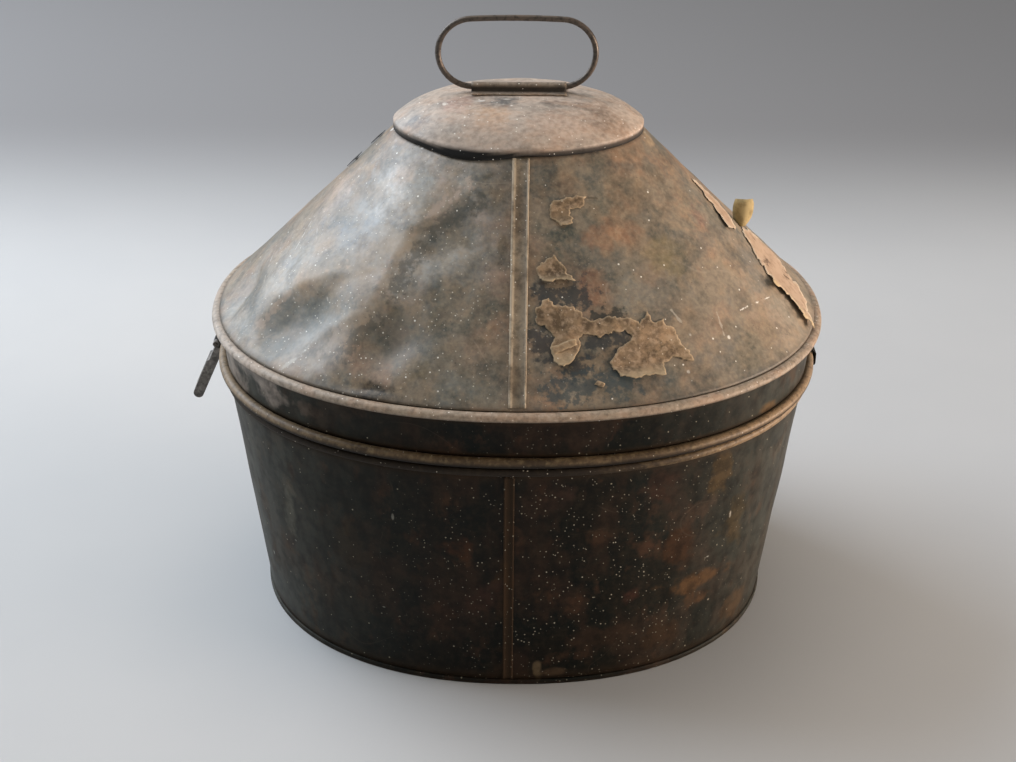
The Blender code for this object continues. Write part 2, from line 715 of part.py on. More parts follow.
def build():
    clear_scene()
    parts = new_collection("Helmet tin")
    guides = new_collection("Cutters and guides")
    black = material("Black japanning", (0.020, 0.018, 0.015), 0.5, 0.0)
    dusty = material("Dusty green japanning", (0.085, 0.080, 0.066), 0.7, 0.0)
    worn = material("Japanning worn to brown", (0.150, 0.115, 0.085), 0.65, 0.0)
    iron = material("Dark iron", (0.025, 0.021, 0.018), 0.45, 0.6)

    tub_wall(parts, black)
    tub_base(parts, black)
    base_rim(parts, black)
    stop_bead(parts, black)
    tub_seam("tub_front_seam", -1, parts, black)
    tub_seam("tub_back_seam", 1, parts, black)
    tub_hinge_leaf(parts, guides, black)
    pin("hinge_pin", HINGE_AXIS, HINGE_PIN_RADIUS, HINGE_WIDTH, parts, iron)

    lid_axis = axis_empty("lid_axis", HINGE_AXIS, parts)
    lid = [
        lid_skirt(parts, black),
        wire_loop("wired_edge", oval_ring(EDGE, EDGE_HEIGHT), EDGE_WIRE_RADIUS, parts, worn),
        wire_loop("rim_bead", oval_ring(RIM, RIM_HEIGHT), RIM_BEAD_RADIUS, parts, worn),
        lid_cone(parts, dusty),
        cone_seam("cone_front_seam", -1, parts, dusty),
        cone_seam("cone_back_seam", 1, parts, dusty),
        cap(parts, worn),
        handle_sleeve(parts, worn),
        lid_hinge_leaf(parts, guides, black),
        hasp_leaf(parts, guides, black),
        pin("hasp_pin", HASP_AXIS, HASP_PIN_RADIUS, HASP_WIDTH, parts, iron),
        handle(parts, iron),
        hasp(parts, guides, worn),
    ]
    for item in lid:
        hang(item, lid_axis)
    for item in bpy.data.objects:
        if item.parent is None:
            item.location.x += MIDDLE_SHIFT


build()
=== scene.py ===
# %% [markdown]
# # An old helmet tin in Blender
# The object is an oval carrying case of japanned tinplate: a tapered tub, a deep conical lid that
# slips over it, a low domed cap and a wire handle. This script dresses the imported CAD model. It
# keeps the CAD's places and sizes, and adds what the source leaves out: finer dents and creases,
# smoother rolled edges, torn paper and the worn finish.

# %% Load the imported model
import math

import bpy
import numpy as np
from mathutils import Matrix, Vector, geometry, noise


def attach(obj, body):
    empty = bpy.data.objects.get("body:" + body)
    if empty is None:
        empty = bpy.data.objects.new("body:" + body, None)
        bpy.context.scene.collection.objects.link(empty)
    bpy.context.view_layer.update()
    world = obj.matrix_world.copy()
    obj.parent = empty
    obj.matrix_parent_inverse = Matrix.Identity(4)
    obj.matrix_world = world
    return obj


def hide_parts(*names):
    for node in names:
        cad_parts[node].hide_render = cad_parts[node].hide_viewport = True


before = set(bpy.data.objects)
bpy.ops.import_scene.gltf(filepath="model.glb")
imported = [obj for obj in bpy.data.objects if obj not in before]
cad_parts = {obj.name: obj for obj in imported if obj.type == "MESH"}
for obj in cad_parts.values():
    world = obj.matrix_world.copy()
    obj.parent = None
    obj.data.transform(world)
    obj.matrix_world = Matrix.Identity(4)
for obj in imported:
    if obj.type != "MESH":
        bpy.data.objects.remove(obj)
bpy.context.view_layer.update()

# %% [markdown]
# ## Units and colours
# Everything is in metres, so one name stands for a millimetre. Colours are written the way that a
# picture shows them, as sRGB hex values, and one function turns them into the linear numbers that
# a shader works with.

# %% Units and colours
MM = 0.001


def linear(colour):
    """Linear red, green, blue and alpha of an sRGB hex value such as #8a5a36."""
    parts = [int(colour[place:place + 2], 16) / 255 for place in (1, 3, 5)]
    curve = [part / 12.92 if part <= 0.04045 else ((part + 0.055) / 1.055) ** 2.4 for part in parts]
    return (*curve, 1)


print("mid grey", [round(part, 3) for part in linear("#808080")])

# %% [markdown]
# ## Camera
# The photograph looks down on the tin by about 27 degrees from a little over a metre away. Its
# focal length, distance, height and slight roll were found by matching the outlines of the beads,
# the cap and the handle. The tin's own middle is a few millimetres beside the model's origin,
# because the hasp makes one end longer.

# %% Camera
MIDDLE = 8.2 * MM                 # the tin's middle in X
PICTURE_WIDTH = 1016
FOCAL_PIXELS = 1800
CAMERA_DISTANCE = 1110.8 * MM
CAMERA_AIM = Vector((MIDDLE - 4.86 * MM, 0, 127.7 * MM))
CAMERA_TILT = math.radians(27.35)
CAMERA_ROLL = 0.008

lens = bpy.data.cameras.new("camera")
lens.sensor_width = 36
lens.lens = lens.sensor_width * FOCAL_PIXELS / PICTURE_WIDTH
camera = bpy.data.objects.new("camera", lens)
bpy.context.scene.collection.objects.link(camera)
back = Vector((0, -math.cos(CAMERA_TILT), math.sin(CAMERA_TILT))) * CAMERA_DISTANCE
turn = Matrix.Rotation(math.pi / 2 - CAMERA_TILT, 4, "X") @ Matrix.Rotation(CAMERA_ROLL, 4, "Z")
camera.matrix_world = Matrix.Translation(CAMERA_AIM + back) @ turn
bpy.context.scene.camera = camera
print("lens", round(lens.lens, 1), "mm")

# %% [markdown]
# ## Studio
# The tin stands on one wide sheet of pale paper, with painted shade toward the back where a wall
# would stand in shade. Most light comes from a big soft window on the left, a little behind the
# tin, so the left flank shines, the front is dark and the shadow falls to the right. A dimmer one
# overhead and a weak warm one from the right keep the rest readable.

# %% Studio floor
FLOOR_HALF_WIDTH = 4.0
FLOOR_FRONT, FLOOR_BACK = -3.4, 4.4
SHADE_START, SHADE_END = 0.40, 0.86      # where the paper gets darker, along Y
SHADE_STEPS = 16


def new_mesh(name, points, faces):
    """Object with a smooth mesh of points and faces."""
    mesh = bpy.data.meshes.new(name)
    mesh.from_pydata([tuple(point) for point in points], [], faces)
    mesh.shade_smooth()
    made = bpy.data.objects.new(name, mesh)
    bpy.context.scene.collection.objects.link(made)
    return made


def paint(piece, name, values):
    """Store one number at each point of a mesh, for its finish to read."""
    layer = piece.data.attributes.new(name, "FLOAT", "POINT")
    layer.data.foreach_set("value", np.array(values, dtype=np.float32))


shades = [step / SHADE_STEPS for step in range(SHADE_STEPS + 1)]
shaded_rows = [SHADE_START + (SHADE_END - SHADE_START) * shade for shade in shades]
rows = [FLOOR_FRONT, *shaded_rows, FLOOR_BACK]
points = [(side * FLOOR_HALF_WIDTH, y, 0) for y in rows for side in (-1, 1)]
faces = [(2 * row, 2 * row + 1, 2 * row + 3, 2 * row + 2) for row in range(len(rows) - 1)]
paper = new_mesh("studio_paper", points, faces)

# %% Lights
# Each row is a name, place, aim, width, height, watts, colour and spread in degrees.
LIGHTS = [
    ("window", (-1.4, 0.8, 1.3), (0, 0, 0.15), 1.6, 1.8, 49, "#e6f2ff", 180),
    ("ceiling", (-0.1, 0.45, 2.3), (0, 0.1, 0.1), 1.6, 1.2, 12, "#fff1e4", 180),
    ("room", (1.55, -0.2, 0.24), (0, 0, 0.25), 1.4, 0.4, 5.2, "#ffe8d4", 60),
]
WORLD_LIGHT = 0.34


def add_light(name, place, aim, width, height, watts, colour, spread):
    """Soft rectangular light at a place, turned toward its aim."""
    light = bpy.data.lights.new(name, "AREA")
    light.shape = "RECTANGLE"
    light.size, light.size_y = width, height
    light.energy = watts
    light.color = linear(colour)[:3]
    light.spread = math.radians(spread)
    made = bpy.data.objects.new(name, light)
    bpy.context.scene.collection.objects.link(made)
    made.location = place
    made.rotation_euler = (Vector(aim) - Vector(place)).to_track_quat("-Z", "Y").to_euler()


for row in LIGHTS:
    add_light(*row)
world = bpy.data.worlds.new("room")
bpy.context.scene.world = world
world.use_nodes = True
room_light = world.node_tree.nodes["Background"]
room_light.inputs["Color"].default_value = linear("#fffaf2")
room_light.inputs["Strength"].default_value = WORLD_LIGHT
bpy.context.scene.view_settings.view_transform = "Standard"
print("lights", [row[0] for row in LIGHTS])

# %% [markdown]
# ## The tin's outlines
# Seen from above each edge of the tin is a squared-off oval, a little fuller than an ellipse.
# The same outlines as in the CAD source place every sheet and bead, so nothing has to be fitted.

# %% Outlines and heights
SHEET = 0.8 * MM
GAP = 0.3 * MM
PLAN_STEPS = 256
RIM = (178.3 * MM, 148 * MM, 2.16)
EDGE = (176.5 * MM, 147.2 * MM, 2.16)
CAP = (71.9 * MM, 52 * MM, 2.0)
BASE = (157 * MM, 137.5 * MM, 2.16)
RIM_HEIGHT, EDGE_HEIGHT = 182.3 * MM, 154 * MM
RIM_BEAD, EDGE_WIRE = 3.5 * MM, 3 * MM
STOP_BOTTOM, STOP_TOP = 144.7 * MM, 149.3 * MM
BASE_RIM_HEIGHT = 3.2 * MM
COLLAR_TOP = 175 * MM
COLLAR_STEP, SHOULDER_STEP = 4.5 * MM, 2 * MM      # collar inside the edge, wall outside the collar
WALL_FOOT = BASE_RIM_HEIGHT + GAP
CAP_EDGE, CAP_SHOULDER, CAP_DOME = 293 * MM, 297.5 * MM, 16 * MM
FOOT_SLOPE = math.radians(66)
SHEET_FROM_BEAD = 4.6              # millimetres from the rim bead's middle to where the cone starts
CONE_SLOPE_LENGTH = 142            # millimetres from the cone's foot to its top
CAP_LAP = 0.45 * MM                # how far the cone's top is below the cap's edge


def grown(outline, by):
    """The same outline, larger by a length all round."""
    return (outline[0] + by, outline[1] + by, outline[2])


COLLAR = grown(EDGE, -COLLAR_STEP)
SHOULDER = grown(COLLAR, SHOULDER_STEP)
WALL_BOTTOM = grown(BASE, -1 * MM)
CONE_FOOT = grown(RIM, -math.cos(FOOT_SLOPE) * SHEET_FROM_BEAD * MM)
CONE_FOOT_HEIGHT = RIM_HEIGHT + math.sin(FOOT_SLOPE) * SHEET_FROM_BEAD * MM
CONE_SEAT = grown(CAP, -SHEET)
CONE_SEAT_HEIGHT = CAP_EDGE - CAP_LAP


def oval_point(outline, angle, height):
    """Point of an outline at an angle in radians from +X."""
    length, width, squareness = outline
    cosine, sine = math.cos(angle), math.sin(angle)
    x = length * math.copysign(abs(cosine) ** (2 / squareness), cosine)
    y = width * math.copysign(abs(sine) ** (2 / squareness), sine)
    return Vector((MIDDLE + x, y, height))


def turns(steps=PLAN_STEPS):
    """Evenly spaced angles once round."""
    return [2 * math.pi * step / steps for step in range(steps)]


def ring(outline, height):
    """Points of an outline at a height."""
    return [oval_point(outline, angle, height) for angle in turns()]


def between(low, high, share):
    """Outline part of the way from one to another."""
    return tuple(one + (other - one) * share for one, other in zip(low, high))


def ripple(point, size, depth):
    """Smooth unevenness of beaten sheet: bumps of about size, up to depth."""
    return noise.noise(Vector(point) / size) * depth


def pushed_ring(outline, height, push, rise=0):
    """Ring whose points stand further out by what push says of each angle and place."""
    return [
        oval_point(grown(outline, push(angle, point)), angle, height + rise)
        for angle, point in zip(turns(), ring(outline, height))
    ]


def bands(rows, count, closed=False, rings=True):
    """Faces between rows of count points. Rows may be rings, and the last may join the first."""
    faces = []
    for low in range(rows if closed else rows - 1):
        high = (low + 1) % rows
        for step in range(count if rings else count - 1):
            after = (step + 1) % count
            corners = ((low, step), (low, after), (high, after), (high, step))
            faces.append(tuple(row * count + place for row, place in corners))
    return faces


def loft(name, rings, closed=False, filled=False):
    """Surface through closed rings, each with the same number of points."""
    count = len(rings[0])
    faces = bands(len(rings), count, closed)
    if filled:
        faces.append(tuple((len(rings) - 1) * count + step for step in range(count)))
    return new_mesh(name, [point for row in rings for point in row], faces)


def thicken(piece, sheet=SHEET, offset=-1, even=True):
    """Give an open surface its thickness: to the inside at -1, both ways at 0, outside at 1."""
    solid = piece.modifiers.new("sheet", "SOLIDIFY")
    solid.thickness = sheet
    solid.offset = offset
    solid.use_even_offset = even


def paint_ends(piece):
    """Value that grows toward the tin's two ends, where the dust catches the light."""
    shares = [min(1.0, abs(point.co.x - MIDDLE) / RIM[0]) for point in piece.data.vertices]
    paint(piece, "ends", [share ** 3 for share in shares])


def dress(piece, material, slot, body, *nodes):
    """Give a piece its finish, its body and the CAD nodes that it stands for."""
    piece.data.materials.append(material)
    paint_ends(piece)
    if nodes:
        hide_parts(*nodes)
    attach(piece, body)
    print(piece.name, "on", body, len(piece.data.vertices), "points")


# %% [markdown]
# ## How a worn finish is put together
# Every finish here starts from one ground colour and gets marks laid over it, the way that a
# surface ages: stains, rust, dust, rubbed edges, specks and scratches. Some marks are painted
# shade, sheen and highlights instead. Each mark is a mask with a colour, a roughness and a
# height. A mask comes from noise whose size is a real size in millimetres. It works in the
# object's own coordinates, so it stays put when a piece moves.

# %% One function that adds a node
def add(tree, kind, settings=None, links=None, output=0):
    """Add a shader node and give one of its outputs.

    Settings name its options or sockets, links name sockets. A socket that is linked to None
    keeps its setting.
    """
    made = tree.nodes.new("ShaderNode" + kind)
    for name, value in (settings or {}).items():
        if isinstance(name, str) and hasattr(made, name):
            setattr(made, name, value)
        else:
            made.inputs[name].default_value = value
    for socket, source in (links or {}).items():
        if source is not None:
            tree.links.new(source, made.inputs[socket])
    return made.outputs[output]


# %% Masks from noise
NOISE_RANGE = 0.42                 # how far apart the values of most of the noise lie
SEED_STEP = (0.37, 0.71, 0.53)     # metres that each seed moves a pattern on
SMALLEST_DOT, DOT_BORDER = 0.35, 0.25      # shares of the largest dot's radius


def placed(tree, seed, stretch=(1, 1, 1)):
    """Object coordinates, drawn out along each axis by stretch and moved by a seed."""
    where = add(tree, "TexCoord", output="Object")
    size = tuple(1 / share for share in stretch)
    move = tuple(seed * step for step in SEED_STEP)
    return add(tree, "Mapping", {"Location": move, "Scale": size}, {"Vector": where})


def scale_for(size):
    """Scale of a noise whose blotches are about size millimetres across."""
    return 0.5 / (size * MM)


def patches(tree, size, cover, soft, seed, stretch=(1, 1, 1)):
    """Blotches about size millimetres across over a share of the surface."""
    cloudy = {"Scale": scale_for(size), "Detail": 5, "Roughness": 0.6}
    found = add(tree, "TexNoise", cloudy, {"Vector": placed(tree, seed, stretch)})
    middle = 0.5 + (0.5 - cover) * NOISE_RANGE
    border = {"From Min": middle - soft / 2, "From Max": middle + soft / 2}
    return add(tree, "MapRange", border, {"Value": found})


def specks(tree, spacing, size, share, seed):
    """Dots of up to size millimetres, about spacing apart, in a share of the places."""
    scale = {"Scale": 1 / (spacing * MM), "Randomness": 1.0}
    cells = add(tree, "TexVoronoi", scale, {"Vector": placed(tree, seed)}).node.outputs
    chance = add(tree, "SeparateColor", {}, {0: cells["Color"]}).node.outputs
    chosen = add(tree, "Math", {"operation": "LESS_THAN", 1: share}, {0: chance[0]})
    reach = size / spacing / 2
    sizes = {"To Min": reach * SMALLEST_DOT, "To Max": reach}
    radius = add(tree, "MapRange", sizes, {"Value": chance[1]})
    left = add(tree, "Math", {"operation": "SUBTRACT"}, {0: radius, 1: cells["Distance"]})
    border = {"From Min": 0.0, "From Max": reach * DOT_BORDER}
    dots = add(tree, "MapRange", border, {"Value": left})
    return add(tree, "Math", {"operation": "MULTIPLY"}, {0: dots, 1: chosen})


def scratches(tree, spacing, width, seed):
    """Broken hairlines: the thin places where a smooth noise passes its middle value."""
    smooth = {"Scale": scale_for(spacing), "Detail": 1.0, "Roughness": 0.4, "Distortion": 0.4}
    found = add(tree, "TexNoise", smooth, {"Vector": placed(tree, seed)})
    off = add(tree, "Math", {"operation": "SUBTRACT", 1: 0.5}, {0: found})
    far = add(tree, "Math", {"operation": "ABSOLUTE"}, {0: off})
    hair = {"From Min": 0.0, "From Max": width / spacing * 0.5, "To Min": 1.0, "To Max": 0.0}
    line = add(tree, "MapRange", hair, {"Value": far})
    broken = patches(tree, spacing * 0.7, 0.35, 0.06, seed + 3)
    return add(tree, "Math", {"operation": "MULTIPLY"}, {0: line, 1: broken})


# %% Masks from places
SMOOTH = {"interpolation_type": "SMOOTHSTEP"}
BLOT_BORDER, STROKE_BORDER = (0.8, 11), (0.9, 2)      # how ragged, and at what size
WHOLE_TO = 0.25                    # share of a mark's reach where it starts to fade
CLOUD_RANGE = (0.3, 0.7)           # values of the noise that stand for its two ends


def painted_on(tree, name, low=0.0, high=1.0):
    """Mask from a value that the mesh carries at each point."""
    value = add(tree, "Attribute", {"attribute_name": name}, output="Fac")
    return add(tree, "MapRange", {"From Min": low, "From Max": high}, {"Value": value})


def near(tree, place, reach):
    """Soft round region about a place in metres."""
    where = add(tree, "TexCoord", output="Object")
    gap = add(tree, "VectorMath", {"operation": "DISTANCE", 1: place}, {0: where}, "Value")
    return add(tree, "MapRange", {"From Min": reach, "From Max": 0.0, **SMOOTH}, {"Value": gap})


def cloud(tree, size, amount):
    """Noise of a size in millimetres, from minus to plus amount. Made once for each material."""
    found = tree.nodes.get(f"cloud {size}")
    if found is None:
        scale = {"Scale": scale_for(size), "Detail": 4.0, "Roughness": 0.6}
        where = add(tree, "TexCoord", output="Object")
        found = add(tree, "TexNoise", scale, {"Vector": where}).node
        found.name = f"cloud {size}"
    low, high = CLOUD_RANGE
    ends = {"From Min": low, "From Max": high, "To Min": -amount, "To Max": amount, "clamp": False}
    return add(tree, "MapRange", ends, {"Value": found.outputs[0]})


def faded(tree, distance, reach, ragged, size):
    """Mask that is 1 at no distance and 0 past reach, with a cloudy border."""
    cloudy = cloud(tree, size, reach * ragged)
    rough = add(tree, "Math", {"operation": "ADD"}, {0: distance, 1: cloudy})
    border = {"From Min": reach, "From Max": reach * WHOLE_TO, **SMOOTH}
    return add(tree, "MapRange", border, {"Value": rough})


def blot(tree, place, reach, squash=(1, 1, 1)):
    """One stain or painted light about a place, reach metres to its border, drawn out along each
    axis.
    """
    where = add(tree, "TexCoord", output="Object")
    gap = add(tree, "VectorMath", {"operation": "SUBTRACT", 1: place}, {0: where})
    drawn = add(tree, "VectorMath", {"operation": "DIVIDE", 1: squash}, {0: gap})
    length = add(tree, "VectorMath", {"operation": "LENGTH"}, {0: drawn}, "Value")
    return faded(tree, length, reach, *BLOT_BORDER)


def stroke(tree, start, end, reach):
    """One scratch, rubbed line or painted highlight or shade, from start to end, reach metres to
    each side.
    """
    run = Vector(end) - Vector(start)
    where = add(tree, "TexCoord", output="Object")
    gap = add(tree, "VectorMath", {"operation": "SUBTRACT", 1: start}, {0: where})
    along = {"operation": "DOT_PRODUCT", 1: tuple(run / run.length_squared)}
    share = add(tree, "VectorMath", along, {0: gap}, "Value")
    share = add(tree, "Clamp", {}, {0: share})
    on_line = add(tree, "VectorMath", {"operation": "SCALE", 0: tuple(run)}, {"Scale": share})
    aside = add(tree, "VectorMath", {"operation": "DISTANCE"}, {0: gap, 1: on_line}, "Value")
    return faded(tree, aside, reach, *STROKE_BORDER)


KINDS = (patches, specks, scratches, painted_on, near, blot, stroke)
MASKS = {mask.__name__: mask for mask in KINDS}
print("masks", *MASKS)

# %% [markdown]
# ## From a table of marks to a material
# Each row of a table is one mark: which mask it uses, that mask's own numbers in order, its
# colour and its strength. After them may come its roughness, how far it stands up in
# millimetres, and a second mask that keeps it to one region. The heights of all the marks add
# up and drive one bump. What is the same all over is set on the shader's own sockets.

# %% Build a finish from its marks
MARK_COLUMNS = ("mask", "numbers", "colour", "strength", "roughness", "height", "within")


def finish(name, ground, roughness, marks, metallic=0.0, level=0.5, ior=1.5):
    """Material with a ground coat and marks laid over it in order."""
    made = bpy.data.materials.new(name)
    made.use_nodes = True
    tree = made.node_tree
    shader = tree.nodes["Principled BSDF"]
    coat = {"Base Color": linear(ground), "Roughness": roughness, "Metallic": metallic,
            "Specular IOR Level": level, "IOR": ior}
    for socket, value in coat.items():
        shader.inputs[socket].default_value = value
    colour = rough = height = None
    for row in marks:
        mark = dict(zip(MARK_COLUMNS, row))
        mask = MASKS[mark["mask"]](tree, *mark["numbers"])
        if "within" in mark:
            kind, numbers = mark["within"]
            both = {0: mask, 1: MASKS[kind](tree, *numbers)}
            mask = add(tree, "Math", {"operation": "MULTIPLY"}, both)
        strength = {"operation": "MULTIPLY", 1: mark["strength"], "use_clamp": True}
        mask = add(tree, "Math", strength, {0: mask})
        colours = {"Color1": linear(ground), "Color2": linear(mark["colour"])}
        colour = add(tree, "MixRGB", colours, {"Fac": mask, "Color1": colour})
        if mark.get("roughness") is not None:
            values = {"A": roughness, "B": mark["roughness"]}
            rough = add(tree, "Mix", values, {"Factor": mask, "A": rough})
        if mark.get("height") is not None:
            rise = {"operation": "MULTIPLY", 1: mark["height"] * MM}
            lift = add(tree, "Math", rise, {0: mask})
            if height is not None:
                lift = add(tree, "Math", {"operation": "ADD"}, {0: height, 1: lift})
            height = lift
    bump = None
    if height is not None:
        bump = add(tree, "Bump", {"Distance": 1.0, "Strength": 1.0}, {"Height": height})
    for socket, source in {"Base Color": colour, "Roughness": rough, "Normal": bump}.items():
        if source is not None:
            tree.links.new(source, shader.inputs[socket])
    print(name, len(marks), "marks", len(tree.nodes), "nodes")
    return made


# %% Stains, scratches and painted shading from short tables
def sheet_place(low, low_height, high, high_height):
    """Function from degrees round and share up to a place on a plain tapered sheet."""
    def place(around, up):
        angle = math.radians(around)
        foot = oval_point(low, angle, low_height)
        return tuple(foot.lerp(oval_point(high, angle, high_height), up))
    return place


def blots(rows, place):
    """Marks from rows of colour, strength, reach, degrees round, share up and maybe squash."""
    return [
        ("blot", (place(around, up), reach * MM, *squash), colour, strength)
        for colour, strength, reach, around, up, *squash in rows
    ]


def strokes(rows, place):
    """Marks from rows of colour, strength, reach, start and end."""
    return [
        ("stroke", (place(*start), place(*end), reach * MM), colour, strength)
        for colour, strength, reach, start, end in rows
    ]


# %% [markdown]
# ## Studio paper
# Matt paper has a fine tooth that the camera can't see from here, so one soft tone with a faint
# cloudiness is enough. The darker back is painted shade, stored on the sheet's points.

# %% Studio paper finish
PAPER_TONES = [
    ("patches", (400, 0.5, 0.5, 2), "#d3d2d0", 0.6),
    # painted shade that darkens the paper toward the back
    ("painted_on", ("shade",), "#868586", 1.0),
]
paper_white = finish("Matt studio paper", "#babcbe", 0.9, PAPER_TONES)
smooth_shades = [0.0, *[shade * shade * (3 - 2 * shade) for shade in shades], 1.0]
paint(paper, "shade", [shade for shade in smooth_shades for _ in (0, 1)])
paper.data.materials.append(paper_white)

# %% [markdown]
# ## Japanned tinplate, dusty and stained
# Japanning is a dark asphaltum varnish that was baked on. On the cone it has gone green and
# brown: thin rust stains bleed through, dust has settled in a grey bloom, and the ridges are
# rubbed. The bloom on the upper left is partly painted sheen, and some marks paint shade in
# dents and highlights along folds. The gloss is half gone, so roughness is near 0.5 and stains
# are rougher.

# %% Dusty japanning for the cone
on_cone = sheet_place(CONE_FOOT, CONE_FOOT_HEIGHT, CONE_SEAT, CONE_SEAT_HEIGHT)
CONE_STAINS_AND_PAINTED_LIGHT = [
    # painted sheen, mixed with grey dust, on the upper left
    ("#a4acb2", 0.45, 28, -148, 0.72),
    ("#d2d0cd", 0.75, 27, -141, 0.84),
    ("#bfa797", 0.5, 14, -137, 0.88),
    ("#c0a491", 0.5, 16, -169, 0.68),
    ("#b79d8b", 0.5, 13, -118, 0.87),
    # painted shade in a dent
    ("#5b626a", 0.45, 16, -153, 0.6),
    ("#788088", 0.55, 14, -156, 0.35),
    ("#9097a0", 0.35, 20, -138, 0.6),
    ("#a68e74", 0.5, 13, -150, 0.48),
    # painted shade in the hollow beside a fold
    ("#4a5453", 0.5, 26, -147, 0.14),
    ("#6b706a", 0.5, 18, -136, 0.3),
    ("#a2a3a0", 0.4, 24, -130, 0.16),
    ("#866f5a", 0.55, 12, -123, 0.14),
    ("#636768", 0.65, 10, -163, 0.16),
    ("#585c5d", 0.6, 9, -163, 0.04),
    ("#ae937b", 0.6, 13, -145, 0.35, (1.6, 1, 0.7)),
    ("#3c433c", 0.55, 17, -108, 0.76, (1, 1, 1.2)),
    ("#40433a", 0.6, 15, -114, 0.64),
    ("#a08a6d", 0.35, 12, -110, 0.6),
    ("#434a44", 0.35, 20, -118, 0.3),
    ("#a0876c", 0.4, 12, -112, 0.33),
    ("#3a4439", 0.5, 24, -102, 0.34),
    ("#46371f", 0.75, 15, -94, 0.64, (0.45, 1, 3)),
    ("#6b5933", 0.6, 13, -109, 0.12),
    ("#6f7674", 0.6, 17, -100, 0.05),
    # painted shade in the small dent above the rim bead
    ("#1e1710", 1.0, 11, -115, 0.015, (2.3, 1, 0.6)),
    ("#35433f", 0.8, 14, -79, 0.67),
    ("#9c6744", 0.5, 14, -66, 0.62),
    ("#9f6d49", 0.45, 13, -57, 0.65),
    ("#966140", 0.5, 12, -72, 0.48),
    ("#96604f", 0.45, 14, -24, 0.62),
    ("#6f6e69", 0.65, 26, -17, 0.36),
    ("#6c706b", 0.65, 15, -62, 0.42),
    ("#8a784c", 0.6, 16, -50, 0.52),
    ("#2b2c26", 0.8, 17, -76, 0.19, (1.5, 1, 0.8)),
    ("#948c7e", 0.6, 8, -81, 0.08),
    ("#445358", 0.75, 14, -70, 0.09, (1.6, 1, 0.7)),
    ("#6f634c", 0.5, 22, -38, 0.1),
    ("#4a4a40", 0.6, 14, -40, 0.5),
    ("#5a4a38", 0.55, 16, -48, 0.8),
    ("#8a6a4c", 0.5, 16, -75, 0.88),
    ("#c6a882", 0.6, 7, -8, 0.96),
    ("#f4f1ea", 0.95, 1.3, -53.5, 0.22, (1, 1, 1.5)),
    ("#f4f1ea", 0.95, 1.2, -58, 0.085),
    ("#f4f1ea", 0.9, 1.2, -44, 0.165),
]
CONE_SCRATCHES_AND_PAINTED_LIGHT = [
    ("#252c2f", 0.85, 10, (-84, 0.435), (-77, 0.43)),
    ("#262924", 0.85, 4.5, (-74, 0.345), (-68, 0.35)),
    ("#262a2e", 0.8, 10, (-86, 0.27), (-80, 0.16)),
    ("#262a2c", 0.85, 7, (-76, 0.24), (-69, 0.26)),
    ("#324146", 0.75, 10, (-84, 0.075), (-71, 0.09)),
    # painted shade on the dark side of the long fold
    ("#3c3e38", 0.55, 6, (-102, 0.83), (-115, 0.68)),
    ("#3f423c", 0.5, 6, (-117, 0.6), (-119, 0.4)),
    ("#3b423f", 0.5, 6, (-121, 0.28), (-124, 0.13)),
    # painted highlights on the lit side of the long fold
    ("#b8a393", 0.6, 3.5, (-108, 0.88), (-119, 0.73)),
    ("#ad9888", 0.55, 3.5, (-121, 0.69), (-124, 0.42)),
    ("#a59688", 0.5, 4, (-125, 0.4), (-129, 0.12)),
    # painted highlights along the fold to its left
    ("#bda68f", 0.6, 3, (-136, 0.46), (-148, 0.31)),
    ("#b39d8a", 0.5, 3, (-149, 0.28), (-151, 0.1)),
    ("#dcd9d2", 0.8, 1.3, (-178, 0.985), (-138, 0.99)),
    # painted highlight along the small fold that rises from the rim bead
    ("#bfbab0", 0.55, 2.2, (-136.5, 0.0), (-133, 0.16)),
    ("#cfc8bd", 0.55, 0.5, (-168, 0.52), (-160, 0.36)),
    ("#cfc8bd", 0.5, 0.5, (-161, 0.53), (-150, 0.44)),
    ("#cfc8bd", 0.5, 0.4, (-158, 0.40), (-149, 0.49)),
    ("#cfc8bd", 0.5, 0.6, (-173, 0.31), (-166, 0.24)),
    ("#cfc8bd", 0.45, 0.5, (-171, 0.27), (-163, 0.23)),
    ("#cfc8bd", 0.5, 0.5, (-152, 0.30), (-143, 0.24)),
    ("#cfc8bd", 0.55, 0.6, (-139, 0.36), (-133, 0.27)),
    ("#cfc8bd", 0.45, 0.4, (-131, 0.31), (-127, 0.22)),
    ("#f1eee6", 0.95, 0.8, (-35.5, 0.24), (-21.5, 0.21)),
    ("#b9b2a4", 0.6, 0.8, (-55, 0.33), (-54, 0.27)),
    ("#b9b2a4", 0.6, 0.7, (-43, 0.27), (-45, 0.18)),
    ("#46382a", 0.6, 0.8, (-85, 0.83), (-62, 0.815)),
    ("#46382a", 0.5, 0.8, (-86, 0.49), (-75, 0.48)),
]
# The two pale patch marks on the left flank are painted sheen of the window's reflection, mixed
# with grey dust.
DUST_AND_SHEEN_UPPER_LEFT = ("near", ((-0.045, -0.08, 0.27), 0.075))
DUST_AND_SHEEN_LEFT = ("near", ((-0.13, -0.08, 0.22), 0.12))
SPATTER_LEFT = ("near", ((-0.08, -0.1, 0.22), 0.17))
ON_RIDGES = ("painted_on", ("ridge", 0.1, 0.9))
